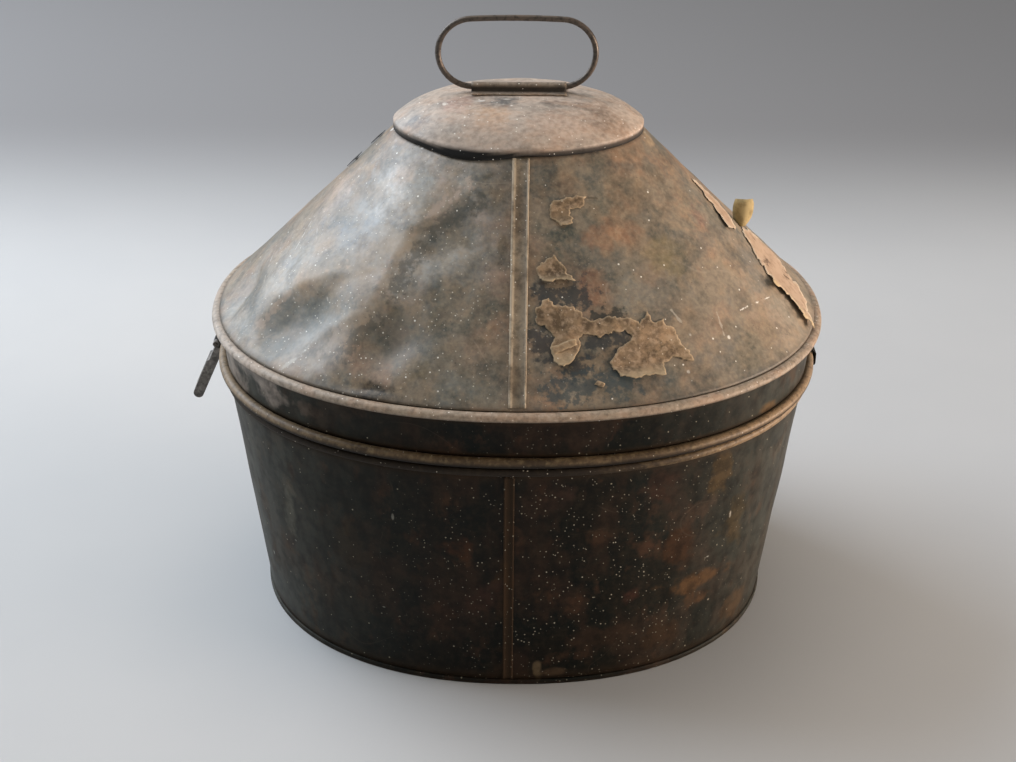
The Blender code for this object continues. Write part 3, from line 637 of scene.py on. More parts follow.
DUSTY_MARKS = [
    ("patches", (24, 0.42, 0.2, 1), "#454f4a", 0.7, 0.38),
    ("patches", (18, 0.42, 0.12, 2), "#8f694c", 0.6, 0.5),
    ("patches", (12, 0.32, 0.1, 3), "#9f7352", 0.5, 0.6, 0.02),
    ("patches", (34, 0.42, 0.2, 4), "#a09585", 0.4, 0.5),
    ("patches", (14, 0.4, 0.1, 5), "#414c4d", 0.6, 0.42),
    ("near", ((0.19, -0.04, 0.205), 0.14), "#b5a795", 0.55, 0.6),
    ("patches", (26, 0.75, 0.24, 18), "#b6b9b9", 1.0, None, None, DUST_AND_SHEEN_UPPER_LEFT),
    ("patches", (22, 0.65, 0.22, 19), "#b0aca6", 0.75, None, None, DUST_AND_SHEEN_LEFT),
    *blots(CONE_STAINS_AND_PAINTED_LIGHT, on_cone),
    ("patches", (6, 0.34, 0.16, 6), "#a88c6c", 0.38),
    ("patches", (7, 0.38, 0.16, 7), "#2d302a", 0.48),
    ("patches", (1.3, 0.42, 0.3, 16), "#b5a488", 0.3, None, 0.01),
    ("patches", (1.5, 0.4, 0.3, 17), "#2a251c", 0.32, None, -0.01),
    ("painted_on", ("hollow", 0.05, 0.9), "#4c5654", 0.35, 0.38),
    ("patches", (9, 0.6, 0.2, 20), "#bba58c", 0.45, 0.5, None, ON_RIDGES),
    # painted shade along the cone's foot and painted shadow under the cap's edge
    ("painted_on", ("dirt_and_shade",), "#2a2118", 0.85, 0.8),
    *strokes(CONE_SCRATCHES_AND_PAINTED_LIGHT, on_cone),
    ("specks", (2.3, 0.95, 0.85, 8), "#e6e1d4", 1.0, None, 0.03, SPATTER_LEFT),
    ("specks", (4.4, 1.4, 0.22, 9), "#f1eee5", 0.9, None, 0.04),
    ("specks", (3.0, 1.0, 0.3, 10), "#2e241b", 0.5, None, -0.03),
    ("scratches", (30, 0.3, 11), "#b6aa98", 0.2),
]
dusty_japanning = finish("Dusty japanned tinplate", "#807260", 0.48, DUSTY_MARKS, ior=1.6)

# %% Cone seam finish
# The seam stands proud of the sheet, so hands have rubbed its lips pale, and dirt fills it.
ON_LIPS = ("painted_on", ("ridge", 0.2, 0.9))
SEAM_MARKS = [
    ("patches", (14, 0.45, 0.2, 101), "#5c4a36", 0.7),
    ("patches", (8, 0.3, 0.16, 102), "#55605c", 0.5),
    ("patches", (1.6, 0.4, 0.2, 103), "#a8977f", 0.45),
    ("patches", (1.8, 0.36, 0.2, 104), "#2f261c", 0.5, None, -0.02),
    ("painted_on", ("dirt_and_shade",), "#2a2016", 0.8),
    ("patches", (7, 0.55, 0.12, 105), "#c2b199", 0.75, None, None, ON_LIPS),
    ("specks", (2.6, 1.0, 0.6, 106), "#e6e1d4", 0.9, None, 0.03),
]
seam_japanning = finish("Dirt in a rubbed seam", "#b1a088", 0.5, SEAM_MARKS)

# %% [markdown]
# ## Japanned tinplate, black
# Tub and skirt kept more of their black varnish. Rust has come through as dark brown clouds,
# brightest low on the right. Fine pale specks are lime or paint spatter.

# %% Black japanning for tub and skirt
on_tub = sheet_place(WALL_BOTTOM, BASE_RIM_HEIGHT, SHOULDER, STOP_BOTTOM)
SKIRT_INSET = 1.8                  # millimetres from the middle of a roll to the skirt's sheet
SKIRT_LOW, SKIRT_HIGH = grown(EDGE, -SKIRT_INSET * MM), grown(RIM, -SKIRT_INSET * MM)
on_skirt = sheet_place(SKIRT_LOW, EDGE_HEIGHT, SKIRT_HIGH, RIM_HEIGHT)
TUB_STAINS = [
    ("#3c2916", 0.65, 15, -92, 0.5, (0.4, 1, 4)),
    ("#5c432b", 0.85, 17, -51, 0.375, (1.9, 1.9, 0.5)),
    ("#553d29", 0.8, 12, -50, 0.26, (1.2, 1, 0.8)),
    ("#4a2f25", 0.8, 8, -67, 0.385),
    ("#483225", 0.8, 12, -66, 0.63),
    ("#452d1c", 0.7, 12, -58, 0.6, (1, 1, 1.8)),
    ("#3c281e", 0.7, 14, -64, 0.88),
    ("#55412c", 0.7, 16, -35, 0.1, (1, 1, 1.2)),
    ("#54432a", 0.7, 10, -48, 0.88, (1, 1, 1.8)),
    ("#4c3f28", 0.65, 11, -42, 0.6, (1, 1, 2)),
    ("#452a18", 0.75, 13, -98, 0.65),
    ("#34221a", 0.7, 13, -95, 0.41),
    ("#2f231a", 0.7, 13, -113, 0.5),
    ("#2d251a", 0.65, 12, -122, 0.62, (1, 1, 1.8)),
    ("#33271c", 0.7, 14, -76, 0.72, (2, 1, 0.6)),
    ("#382820", 0.7, 12, -82, 0.9),
    ("#32241a", 0.7, 14, -74, 0.2, (1.6, 1, 0.7)),
    ("#39291b", 0.7, 12, -58, 0.15),
    ("#39261a", 0.6, 11, -103, 0.3),
    ("#5c5b50", 0.6, 8, -140, 0.62, (0.7, 0.7, 2.6)),
    ("#b3b2a8", 0.85, 1.7, -154, 0.28, (1, 1, 1.4)),
    ("#a3a298", 0.7, 1.6, -140, 0.47, (1.8, 1, 0.7)),
    ("#9b9a90", 0.5, 1.1, -112, 0.76, (0.6, 1, 1.8)),
    ("#c3c2b6", 0.7, 1.3, -116, 0.3, (1.4, 1, 0.6)),
    ("#b3b2a8", 0.7, 1.2, -49, 0.475, (1.6, 1, 0.7)),
    ("#b3a898", 0.85, 1.5, -46, 0.235),
    ("#c9c2b4", 0.75, 1.3, -44, 0.65, (0.7, 1, 2.2)),
    ("#6b5c46", 0.7, 5, -86, 0.05, (0.6, 1, 1.6)),
    ("#5c4a38", 0.5, 6, -82, 0.04, (1.8, 1, 0.5)),
]
SKIRT_STAINS_AND_PAINTED_LIGHT = [
    # The first three rows are painted highlight, mixed with dust, on the knocked-in left.
    ("#ab9f95", 0.55, 14, -148, 0.72, (2.2, 2.2, 0.6)),
    ("#a3968b", 0.5, 12, -137, 0.5, (2.4, 2.4, 0.5)),
    ("#94887d", 0.85, 22, -158, 0.6),
    ("#43372d", 0.7, 9, -130, 0.5, (1.8, 1.8, 0.6)),
    ("#6f5433", 0.7, 7, -37, 0.2, (1.5, 1.5, 0.6)),
    ("#4a3623", 0.7, 12, -28, 0.6),
]
SPATTER_LOW = ("near", ((0.04, -0.137, 0.075), 0.14))
AT_ENDS = ("painted_on", ("ends",))
BLACK_MARKS = [
    ("patches", (22, 0.5, 0.14, 21), "#0a0e0b", 0.95),
    ("patches", (14, 0.4, 0.1, 22, (1, 1, 1.9)), "#2f2118", 0.7, 0.6),
    ("patches", (9, 0.22, 0.1, 23, (1, 1, 1.4)), "#463022", 0.6, 0.7, 0.02),
    ("patches", (7, 0.5, 0.2, 30, (1, 1, 3)), "#5c5e56", 0.5, 0.5, None, AT_ENDS),
    (*AT_ENDS, "#5a5a51", 0.5),
    *blots(TUB_STAINS, on_tub),
    *blots(SKIRT_STAINS_AND_PAINTED_LIGHT, on_skirt),
    ("patches", (1.8, 0.34, 0.24, 25), "#453a2b", 0.18),
    ("patches", (4.0, 0.4, 0.2, 26), "#070806", 0.5),
    ("painted_on", ("dirt_and_shade",), "#3a2b1d", 0.75, 0.8),
    ("specks", (2.4, 0.95, 0.8, 27), "#b8b2a0", 0.95, None, 0.03, SPATTER_LOW),
    ("specks", (3.8, 1.1, 0.45, 28), "#9a9482", 0.8),
    ("scratches", (34, 0.22, 29), "#5d5346", 0.2),
]
black_japanning = finish("Black japanned tinplate", "#14110b", 0.5, BLACK_MARKS, level=0.14)

# %% [markdown]
# ## Worn beads and cap
# Hands, shelves and dust have taken the varnish off everything that sticks out. What is left is
# dull tin and rust under dust, a pinkish beige, with painted shade under the rim bead and in the
# sleeve's fold.

# %% Worn finish for beads and cap
WORN_MARKS = [
    ("patches", (18, 0.5, 0.16, 41), "#8f8071", 0.6),
    ("patches", (9, 0.38, 0.12, 42), "#a98c75", 0.6, 0.75),
    ("patches", (12, 0.2, 0.1, 43), "#5a554e", 0.5, 0.45),
    ("near", ((-0.165, -0.05, 0.182), 0.13), "#b7aea5", 0.7),
    ("patches", (1.4, 0.4, 0.26, 44), "#c9b8a5", 0.4, None, 0.02),
    ("patches", (1.7, 0.34, 0.2, 45), "#3d3228", 0.5, None, -0.02),
    # painted shade under the rim bead and in the fold under the sleeve's roll
    ("painted_on", ("dirt_and_shade",), "#1f1913", 0.95, 0.8),
    ("specks", (2.6, 1.0, 0.5, 46), "#ece4d8", 0.85),
]
worn_japanning = finish("Japanning worn to the tin", "#9b8a76", 0.55, WORN_MARKS)

# %% Rubbed brown finish for the wired edge and the stop bead
# These two are held least, so brown varnish is left on them, rubbed pale toward the ends.
BEAD_MARKS = [
    ("patches", (14, 0.5, 0.2, 51), "#3b2f22", 0.7),
    ("patches", (6, 0.35, 0.14, 52), "#7b6549", 0.5, 0.6),
    ("patches", (1.6, 0.35, 0.16, 53), "#93805f", 0.45, None, 0.02),
    ("painted_on", ("ends", 0.1, 0.85), "#a18c73", 0.75),
    ("near", ((0.15, -0.09, 0.15), 0.09), "#a68a69", 0.6),
    ("patches", (1.6, 0.34, 0.2, 55), "#2c2118", 0.5, None, -0.02),
    # painted shade under the wired edge; on the stop bead it keeps the middle dark, away from its
    # rubbed right end
    ("painted_on", ("dirt_and_shade",), "#17110c", 0.95, 0.8),
    ("specks", (2.6, 0.9, 0.4, 54), "#e2d8c6", 0.8),
]
bead_japanning = finish("Rubbed brown japanning", "#604e38", 0.45, BEAD_MARKS, level=0.3)

# %% Dusty cap finish
# Dust lies thickest here. It has caked with rust to a pale powder, bare where drops have run.
CAP_REACH = (72, 52)               # the cap's half length and half width in millimetres


def on_cap(across, back):
    """Place on the cap's top, in millimetres right of its middle and behind it."""
    out = math.hypot(across / CAP_REACH[0], back / CAP_REACH[1])
    return (MIDDLE + across * MM, back * MM, CAP_SHOULDER + CAP_DOME * (1 - out ** 4))


CAP_STAINS = [
    ("#8f8880", 0.6, 22, -64, -10, (1, 1, 2)),
    ("#43484b", 0.95, 16, -9, -17, (1.3, 0.65, 2)),
    ("#4f4b47", 0.85, 12, 24, -19, (2.0, 0.45, 2)),
    ("#5f5850", 0.7, 9, 50, -22, (1.8, 0.5, 2)),
    ("#64696e", 0.8, 11, -56, -26, (1, 1, 2)),
    ("#79736f", 0.6, 7, -47, -15, (1, 1, 2)),
    ("#bf9672", 0.7, 17, -14, -32, (1.5, 0.7, 2)),
    ("#b58f81", 0.55, 11, -35, -19, (1, 1, 2)),
    ("#63574f", 0.75, 11, 34, -29, (1.7, 0.6, 2)),
    ("#8c7461", 0.7, 24, 58, -20, (1, 1.2, 2)),
    ("#c2a591", 0.5, 16, 20, -38, (1.8, 0.6, 2)),
    ("#b9a99b", 0.5, 18, -30, -40, (1.5, 0.7, 2)),
    ("#76706a", 0.6, 10, 46, -8, (1.8, 0.6, 2)),
    ("#f2eee6", 0.95, 1.4, -4, -23, (1, 1, 2)),
    ("#e6e3dd", 0.8, 2.6, -21, -15, (1.5, 0.7, 2)),
    ("#e6e3dd", 0.8, 2.0, -7, -14, (1.6, 0.7, 2)),
    ("#e6dfd4", 0.8, 2.0, -42, -15, (0.7, 1, 2)),
]
CAP_MARKS = [
    ("patches", (20, 0.5, 0.3, 71), "#bba593", 0.6, 0.7),
    ("patches", (10, 0.36, 0.14, 72, (1.8, 1, 1)), "#66645f", 0.55, 0.42),
    *blots(CAP_STAINS, on_cap),
    ("patches", (5, 0.36, 0.2, 73, (2.4, 1, 1)), "#c9a68b", 0.5, 0.8, 0.03),
    ("patches", (1.3, 0.42, 0.3, 75, (1.3, 1, 1)), "#e2d4c4", 0.36, None, 0.015),
    ("patches", (1.5, 0.36, 0.26, 76, (1.3, 1, 1)), "#4c4037", 0.34, None, -0.015),
    # painted shade on the cap's turned-down side
    ("painted_on", ("dirt_and_shade",), "#060504", 1.0, 0.95),
    ("specks", (2.6, 1.0, 0.5, 77), "#f5f1e8", 0.9, None, 0.04),
]
cap_japanning = finish("Dusty rust powder on japanning", "#b0a194", 0.45, CAP_MARKS, ior=1.6)

# %% [markdown]
# ## Iron wire
# The handle is thick iron wire. It has a brown-black skin of old rust and hand grease, shiny
# where it is held.

# %% Iron wire finish
WIRE_MARKS = [
    ("patches", (6, 0.4, 0.12, 61), "#6a5c50", 0.6, 0.6),
    ("patches", (1.2, 0.35, 0.15, 62), "#16120f", 0.6, None, -0.03),
    ("specks", (2.6, 0.9, 0.6, 63), "#b3a99d", 0.7),
]
iron_wire = finish("Rusted iron wire", "#585049", 0.38, WIRE_MARKS, metallic=0.4)

# %% Dull tin for the hasp
# The hasp is bare sheet that has gone dark and matt.
HASP_MARKS = [
    ("patches", (6, 0.45, 0.16, 64), "#55504c", 0.8),
    ("patches", (1.6, 0.36, 0.14, 65), "#2a2623", 0.6, None, -0.03),
    ("patches", (1.5, 0.34, 0.14, 66), "#a8a39c", 0.5),
]
dull_tin = finish("Dull dark tin", "#77726d", 0.5, HASP_MARKS)

# %% [markdown]
# ## Old paper
# A pasted label has gone brown and brittle. Its front is stained like the tin, its torn edges
# and its back are paler.

# %% Old paper finish
PAPER_MARKS = [
    ("patches", (14, 0.5, 0.2, 81), "#7d6c55", 0.7),
    ("patches", (8, 0.4, 0.14, 82), "#a98d6e", 0.7, None, 0.05),
    ("patches", (5, 0.36, 0.1, 85), "#4d4030", 0.75),
    ("patches", (2, 0.36, 0.16, 83), "#57483a", 0.6, None, -0.03),
    ("patches", (1.5, 0.36, 0.16, 86), "#b9a288", 0.5, None, 0.03),
    ("painted_on", ("edge", 0.3, 1.0), "#c2ae8f", 0.4),
    ("painted_on", ("lifted", 0.2, 1.0), "#bfac8c", 0.45),
    ("specks", (2.6, 1.0, 0.4, 84), "#e3dac8", 0.8),
]
old_paper = finish("Old pasted paper", "#8c765e", 0.85, PAPER_MARKS, level=0.3)

# %% Yellowed paper for the curled leaf
# The leaf stands up, so it has kept clear of the tin's dirt and has only yellowed.
YELLOW_MARKS = [
    ("patches", (6, 0.45, 0.2, 95), "#8d7a4c", 0.6),
    ("patches", (2, 0.36, 0.14, 96), "#6f5f3e", 0.4),
]
yellow_paper = finish("Yellowed paper", "#b7a377", 0.85, YELLOW_MARKS, level=0.3)

# %% Paler paper for the peeling end
# The end of the label has come off the tin, and shows more of its clean fibre.
ON_TORN_EDGE = ("painted_on", ("edge", 0.0, 0.9))
PALE_MARKS = [
    ("patches", (9, 0.45, 0.2, 91), "#ab9079", 0.6),
    ("patches", (3, 0.36, 0.14, 92), "#8a725c", 0.45, None, 0.05),
    ("patches", (7, 0.7, 0.2, 93), "#d9cbb4", 0.7, None, None, ON_TORN_EDGE),
    ("patches", (4, 0.2, 0.06, 94), "#4c3b2d", 0.7),
    ("painted_on", ("lifted", 0.3, 1.0), "#d8be8c", 0.6),
]
pale_paper = finish("Peeling paper", "#b79f89", 0.85, PALE_MARKS, level=0.3)

# %% [markdown]
# ## Tub
# The tub's wall is two sheets, hooked together front and back, flared upward and stepped in to a
# collar that the lid slips over. It is lofted through ovals, with a fine ripple because old
# tinplate is never flat.

# %% Tub wall
WALL_BANDS = 40
RIPPLE_SIZE = 34 * MM
RIPPLE_DEPTH = 0.5 * MM


def wall_at(share):
    """Outline and height of the tub's wall, from its foot at 0 to the stop bead at 1."""
    return between(WALL_BOTTOM, SHOULDER, share), WALL_FOOT + (STOP_BOTTOM - WALL_FOOT) * share


def wall_ring(share):
    """Ring of the tub's wall, rippled in its middle and calm where it is held."""
    depth, calm = RIPPLE_DEPTH, math.sin(math.pi * share)
    return pushed_ring(*wall_at(share), lambda _, point: ripple(point, RIPPLE_SIZE, depth) * calm)


tub_rings = [wall_ring(band / WALL_BANDS) for band in range(WALL_BANDS + 1)]
tub = loft("tub_sheet", [*tub_rings, ring(COLLAR, STOP_TOP), ring(COLLAR, COLLAR_TOP)])
# Dirt lies on the lowest centimetre and along the stop bead.
heights = [point.co.z for point in tub.data.vertices]
foot_dirt_and_shade = [max(0.0, 1 - (height - 3.5 * MM) / (7 * MM)) for height in heights]
shoulder_dirt = [max(0.0, 1 - abs(height - STOP_BOTTOM) / (5 * MM)) for height in heights]
paint(tub, "dirt_and_shade", [max(one, other) * 0.6 for one, other in zip(foot_dirt_and_shade, shoulder_dirt)])
thicken(tub)
dress(tub, black_japanning, "black", "tub", "tub_wall")

# %% [markdown]
# ## Beads and rolled edges
# Where tinplate ends it is rolled over a wire, and where two sheets meet it is folded or swaged
# to a bead. Each one is a section swept round an oval outline. The section is a short list of
# places out and up, and its rubbed top catches dust.

# %% Sections swept round an outline
WOBBLE_SIZE = 20 * MM


def round_section(radius, steps=16):
    """Circle that starts at the inside and runs down, out and up."""
    ways = [math.pi + way for way in turns(steps)]
    return [(radius * math.cos(way), radius * math.sin(way)) for way in ways]


def swept(name, outline, height, section, wobble=0.12 * MM):
    """Section of (out, up) rows swept round an outline, with a slight wobble."""
    rings = [
        pushed_ring(outline, height, lambda _, point: out + ripple(point, WOBBLE_SIZE, wobble), up)
        for out, up in section
    ]
    return loft(name, rings, closed=True)


def dirt_and_shade_under(piece, height, reach):
    """Darker below a height: painted shade under rolls and the cap, dirt on the base rim."""
    values = [min(1.0, max(0.0, (height - point.co.z) / reach)) for point in piece.data.vertices]
    paint(piece, "dirt_and_shade", values)


FLATTENED = 0.78                   # the rolled seam was hammered a little flat
rim_section = [(out, up * FLATTENED) for out, up in round_section(RIM_BEAD)]
rim_bead = swept("rim_roll", RIM, RIM_HEIGHT, rim_section)
# The bead's lower half is painted darker as shade.
dirt_and_shade_under(rim_bead, RIM_HEIGHT - 0.2 * MM, 2 * MM)
dress(rim_bead, worn_japanning, "worn", "lid", "rim_bead")

wired_edge = swept("wired_edge_roll", EDGE, EDGE_HEIGHT, round_section(EDGE_WIRE))
# The roll's underside is painted darker as shade.
dirt_and_shade_under(wired_edge, EDGE_HEIGHT + 1.2 * MM, 2 * MM)
dress(wired_edge, bead_japanning, "worn", "lid", "wired_edge")

# %% Stop bead and base rim
STOP_HALF = [(0, -2.3), (0.9, -2.2), (1.8, -1.6), (2.3, -0.6)]      # its lower half: out and up
STOP_SECTION = STOP_HALF + [(out, -up) for out, up in reversed(STOP_HALF)]
stop_section = [(out * MM, up * MM) for out, up in STOP_SECTION]
stop_bead = swept("stop_roll", grown(SHOULDER, GAP), (STOP_BOTTOM + STOP_TOP) / 2, stop_section)
bare = [max(0.0, (point.co.x - 40 * MM) / (90 * MM)) for point in stop_bead.data.vertices]
paint(stop_bead, "dirt_and_shade", [max(0.1, 0.95 - share) for share in bare])
dress(stop_bead, bead_japanning, "black", "tub", "stop_bead")

FOOT_SECTION = [
    (-2.6, 0), (-0.7, 0), (-0.2, 0.2), (0, 0.7), (0, 2.5), (-0.2, 3.0), (-0.7, 3.2), (-2.6, 3.2),
]
foot_section = [(out * MM, up * MM) for out, up in FOOT_SECTION]
base_rim = swept("foot_rim", BASE, 0, foot_section, wobble=0)
dirt_and_shade_under(base_rim, 1 * MM, 1 * MM)
dress(base_rim, black_japanning, "black", "tub", "base_rim")

# %% [markdown]
# ## Skirt
# The upright band between the two rolls has been knocked in on the left. It is lofted as the
# tub is, with its own short table of knocks: where they are round the tin, how wide and how deep.

# %% Skirt
EDGE_CLEAR, RIM_CLEAR = 3.3, 3.8      # each roll's radius and the gap round it, in millimetres
SKIRT_BOTTOM = EDGE_HEIGHT + math.sqrt(EDGE_CLEAR ** 2 - SKIRT_INSET ** 2) * MM
SKIRT_TOP = RIM_HEIGHT - math.sqrt(RIM_CLEAR ** 2 - SKIRT_INSET ** 2) * MM
SKIRT_BANDS = 14
# Each knock is its degrees round, share up, half width in degrees, half height and depth.
SKIRT_KNOCKS = [
    (-148, 0.45, 9, 0.55, 1.0),
    (-127, 0.6, 8, 0.5, 0.9),
    (-112, 0.5, 7, 0.6, 0.5),
    (-38, 0.5, 8, 0.6, 0.5),
    (70, 0.5, 12, 0.6, 0.6),
    (160, 0.5, 8, 0.6, 0.6),
]


def knock_depth(around, up, knocks):
    """Depth in millimetres of all knocks at a place, with around in degrees."""
    total = 0
    for middle, level, wide, high, depth in knocks:
        aside = (around - middle + 180) % 360 - 180
        reach = math.hypot(aside / wide, (up - level) / high)
        if reach < 1:
            total += depth * (1 - reach ** 2) ** 2
    return total


def skirt_ring(up):
    """Ring of the skirt at a share up, rippled and knocked in."""
    def push(angle, point):
        knocked = knock_depth(math.degrees(angle), up, SKIRT_KNOCKS) * MM
        return ripple(point, RIPPLE_SIZE, 0.3 * MM) - knocked
    height = SKIRT_BOTTOM + (SKIRT_TOP - SKIRT_BOTTOM) * up
    return pushed_ring(between(SKIRT_LOW, SKIRT_HIGH, up), height, push)


skirt = loft("skirt_sheet", [skirt_ring(band / SKIRT_BANDS) for band in range(SKIRT_BANDS + 1)])
heights = [point.co.z for point in skirt.data.vertices]
to_roll = [min(height - SKIRT_BOTTOM, SKIRT_TOP - height) for height in heights]
paint(skirt, "dirt_and_shade", [max(0.0, 1 - gap / (3 * MM)) * 0.7 for gap in to_roll])
thicken(skirt)
dress(skirt, black_japanning, "black", "lid", "lid_skirt")

# %% [markdown]
# ## Cone
# The cone is where the tin shows its age. Broad dents push the left flank in, and sharp creases
# run between them where the sheet has folded. The same broad dents are in the CAD source. Here
# a finer sheet adds the creases, each one a short line in degrees round and share up the slope.

# %% Dents and folds
DENT_DEPTH = 6                     # millimetres, of a dent whose last number is 1
# Each dent's numbers stand as a knock's do.
CONE_DENTS = [
    (-139, 0.17, 17, 0.20, 0.85),
    (-114, 0.22, 10, 0.17, 0.65),
    (-124, 0.36, 12, 0.13, -0.35),
    (-147, 0.40, 14, 0.14, -0.30),
    (-168, 0.16, 11, 0.18, 0.45),
    (-113, 0.70, 11, 0.22, 0.35),
    (-150, 0.72, 16, 0.22, 0.30),
    (-58, 0.55, 16, 0.24, 0.20),
    (148, 0.35, 18, 0.26, 0.45),
    (40, 0.45, 18, 0.26, 0.30),
]
# Each fold is its height, its width on the left and on the right, and its line.
FOLDS = [
    (3.2, 36, 12, [(-123, 0.08), (-122.5, 0.27), (-122.5, 0.50), (-121.5, 0.66), (-114, 0.77),
                   (-105, 0.88)]),
    (2.4, 26, 10, [(-147, 0.02), (-152.5, 0.12), (-151.5, 0.23), (-145, 0.34), (-137.5, 0.42),
                   (-131, 0.45)]),
    (1.4, 6, 14, [(-136.5, 0.0), (-135.5, 0.12), (-131, 0.22), (-124, 0.30)]),
    (-2.0, 7, 5, [(-164.5, 0.03), (-168, 0.12), (-171, 0.22)]),
    (-2.2, 5, 5, [(-120, 0.0), (-116, 0.03), (-111, 0.03)]),
    (-1.0, 9, 6, [(-104, 0.30), (-101, 0.46), (-100, 0.62)]),
    (0.9, 9, 9, [(-112, 0.10), (-109, 0.20), (-110, 0.30)]),
    (1.2, 16, 10, [(-70, 0.30), (-64, 0.48), (-60, 0.66)]),
    (1.4, 18, 12, [(60, 0.20), (52, 0.44), (60, 0.70)]),
    (1.6, 20, 12, [(140, 0.15), (133, 0.40), (142, 0.66)]),
]
FOOT_RADIUS, SEAT_RADIUS = 163, 61      # mean radius of the cone's foot and top, in millimetres
CONE_WAVES = [(26 * MM, 0.6 * MM), (9 * MM, 0.15 * MM)]      # size and depth of its unevenness
FOLD_START, FOLD_SPAN = 0.12, 0.76      # the part of an arch that a fold's height follows

# %% Height of the folds at a place
def spread_out(around, up):
    """Place on the cone as a flat point in millimetres: round it and up its slope."""
    radius = FOOT_RADIUS + (SEAT_RADIUS - FOOT_RADIUS) * up
    return Vector((math.radians(around) * radius, up * CONE_SLOPE_LENGTH))


def fold_height(around, up):
    """Height in millimetres of all folds at a place. A fold is steep on one side of its line."""
    here = spread_out(around, up)
    total = 0
    for height, left, right, line in FOLDS:
        nearest = None
        places = [spread_out(*place) for place in line]
        whole = len(places) - 1
        for step, (start, end) in enumerate(zip(places, places[1:])):
            run, off = end - start, here - start
            along = max(0.0, min(1.0, off.dot(run) / run.length_squared))
            gap = (off - run * along).length
            if nearest is None or gap < nearest:
                side = left if run.x * off.y - run.y * off.x > 0 else right
                nearest, reach = gap, gap / side
                share = FOLD_START + FOLD_SPAN * (step + along) / whole
                taper = math.sin(math.pi * share)
        if reach < 1:
            total += height * taper * (1 - reach) ** 2
    return total


# %% The cone's surface
def signed_degrees(angle):
    """An angle in radians as degrees from -180 to 180."""
    return (math.degrees(angle) + 180) % 360 - 180


def held_still(up, foot, top):
    """Share of an unevenness that is left near the cone's two edges, where the sheet is held."""
    return min(1.0, up / foot, max(0.0, 1 - up) / top)


def cone_surface(angle, up):
    """Point, outward direction, sum of dents and sum of folds at a place on the cone."""
    around = signed_degrees(angle)
    foot = oval_point(CONE_FOOT, angle, CONE_FOOT_HEIGHT)
    seat = oval_point(CONE_SEAT, angle, CONE_SEAT_HEIGHT)
    step = math.pi / PLAN_STEPS
    ahead = oval_point(CONE_FOOT, angle + step, 0) - oval_point(CONE_FOOT, angle - step, 0)
    outward = ahead.cross(seat - foot).normalized()
    plain = foot.lerp(seat, up)
    dents = knock_depth(around, up, CONE_DENTS) * DENT_DEPTH
    folds = fold_height(around, up) * held_still(up, 0.04, 0.06)
    waves = sum(ripple(plain, size, depth) for size, depth in CONE_WAVES)
    push = (folds - dents) * MM + waves * held_still(up, 0.05, 0.05)
    return plain + outward * push, outward, dents, folds


print("deepest dent", round(cone_surface(math.radians(-139), 0.17)[2], 2), "mm")

# %% Cone sheet
CONE_BANDS = 96
CONE_LAP, CONE_RUN = -0.009, 1.018      # the sheet goes a little past its foot and its top
cone_up = [CONE_LAP + CONE_RUN * band / CONE_BANDS for band in range(CONE_BANDS + 1)]
cone_places = [[cone_surface(angle, up) for angle in turns()] for up in cone_up]
cone = loft("cone_sheet", [[place[0] for place in row] for row in cone_places])
flat_places = [place for row in cone_places for place in row]
flat_up = [up for up in cone_up for _ in range(PLAN_STEPS)]
paint(cone, "hollow", [min(1.0, max(0.0, place[2] / 4)) for place in flat_places])
paint(cone, "ridge", [min(1.0, max(0.0, place[3] - 0.8) / 2.0) for place in flat_places])
# Painted shade darkens strips of 2.5 and 1.5 mm along the cone's foot, at the rim bead, and its
# top, under the cap.
foot_dirt_and_shade = [max(0.0, 1 - up * CONE_SLOPE_LENGTH / 2.5) * 0.4 for up in flat_up]
top_shadow = [max(0.0, 1 - (1 - up) * CONE_SLOPE_LENGTH / 1.5) * 0.7 for up in flat_up]
paint(cone, "dirt_and_shade", [low + high for low, high in zip(foot_dirt_and_shade, top_shadow)])
thicken(cone)
dress(cone, dusty_japanning, "dusty", "lid", "lid_cone")

# %% [markdown]
# ## Seams
# A grooved seam hooks two folded edges together and presses them flat. It shows as a strip with
# a raised lip along each side. Here its section is a short profile swept along the sheet, so
# the strip follows every dent.

# %% Seams
SEAM_POINTS = 60
TUB_SEAM_ASIDE, CONE_SEAM_LEAN = -3.8 * MM, 1.3 * MM
CONE_SEAM_ENDS, TUB_SEAM_ENDS = (0.002, 0.993), (0.004, 0.996)
LIPS, LIP_FEET = (2, 3, 6, 7), (0, 4, 5, 9)      # which points of a section are which


def seam_strip(name, spine, section, lean=0.0):
    """Sweep a section of (across, out) along a spine of (place, outward, along)."""
    points = []
    count = len(section)
    for place, outward, along in spine:
        aside = along.cross(outward).normalized()
        leaned = lean * len(points) / (len(spine) * count)
        points += [place + aside * (across + leaned) + outward * out for across, out in section]
    ends = [tuple(reversed(range(count))), tuple(range(len(points) - count, len(points)))]
    return new_mesh(name, points, bands(len(spine), count) + ends)


def lipped_section(left, right, height, hollow):
    """Section with a rounded lip at each side and a low middle. A lip is (middle, width)."""
    def half(middle, width, side):
        sides = [(0.5, 0.1 * MM), (0.5, height * 0.6), (0.25, height), (-0.25, height)]
        return [(middle + side * width * out, up) for out, up in [*sides, (-0.7, hollow)]]
    return half(*right, 1) + half(*left, -1)[::-1]


def spine_points(surface, low, high):
    """Rows of place, outward and along for a line up a sheet."""
    shares = [low + (high - low) * step / SEAM_POINTS for step in range(SEAM_POINTS + 1)]
    found = [surface(share) for share in shares]
    rows = []
    for step, (place, outward) in enumerate(found):
        ahead = found[min(step + 1, SEAM_POINTS)][0] - found[max(step - 1, 0)][0]
        rows.append((place, outward, ahead.normalized()))
    return rows


def cone_line(side):
    """Line up the cone's front at -1 or its back at 1."""
    return lambda up: cone_surface(side * math.pi / 2, up)[:2]


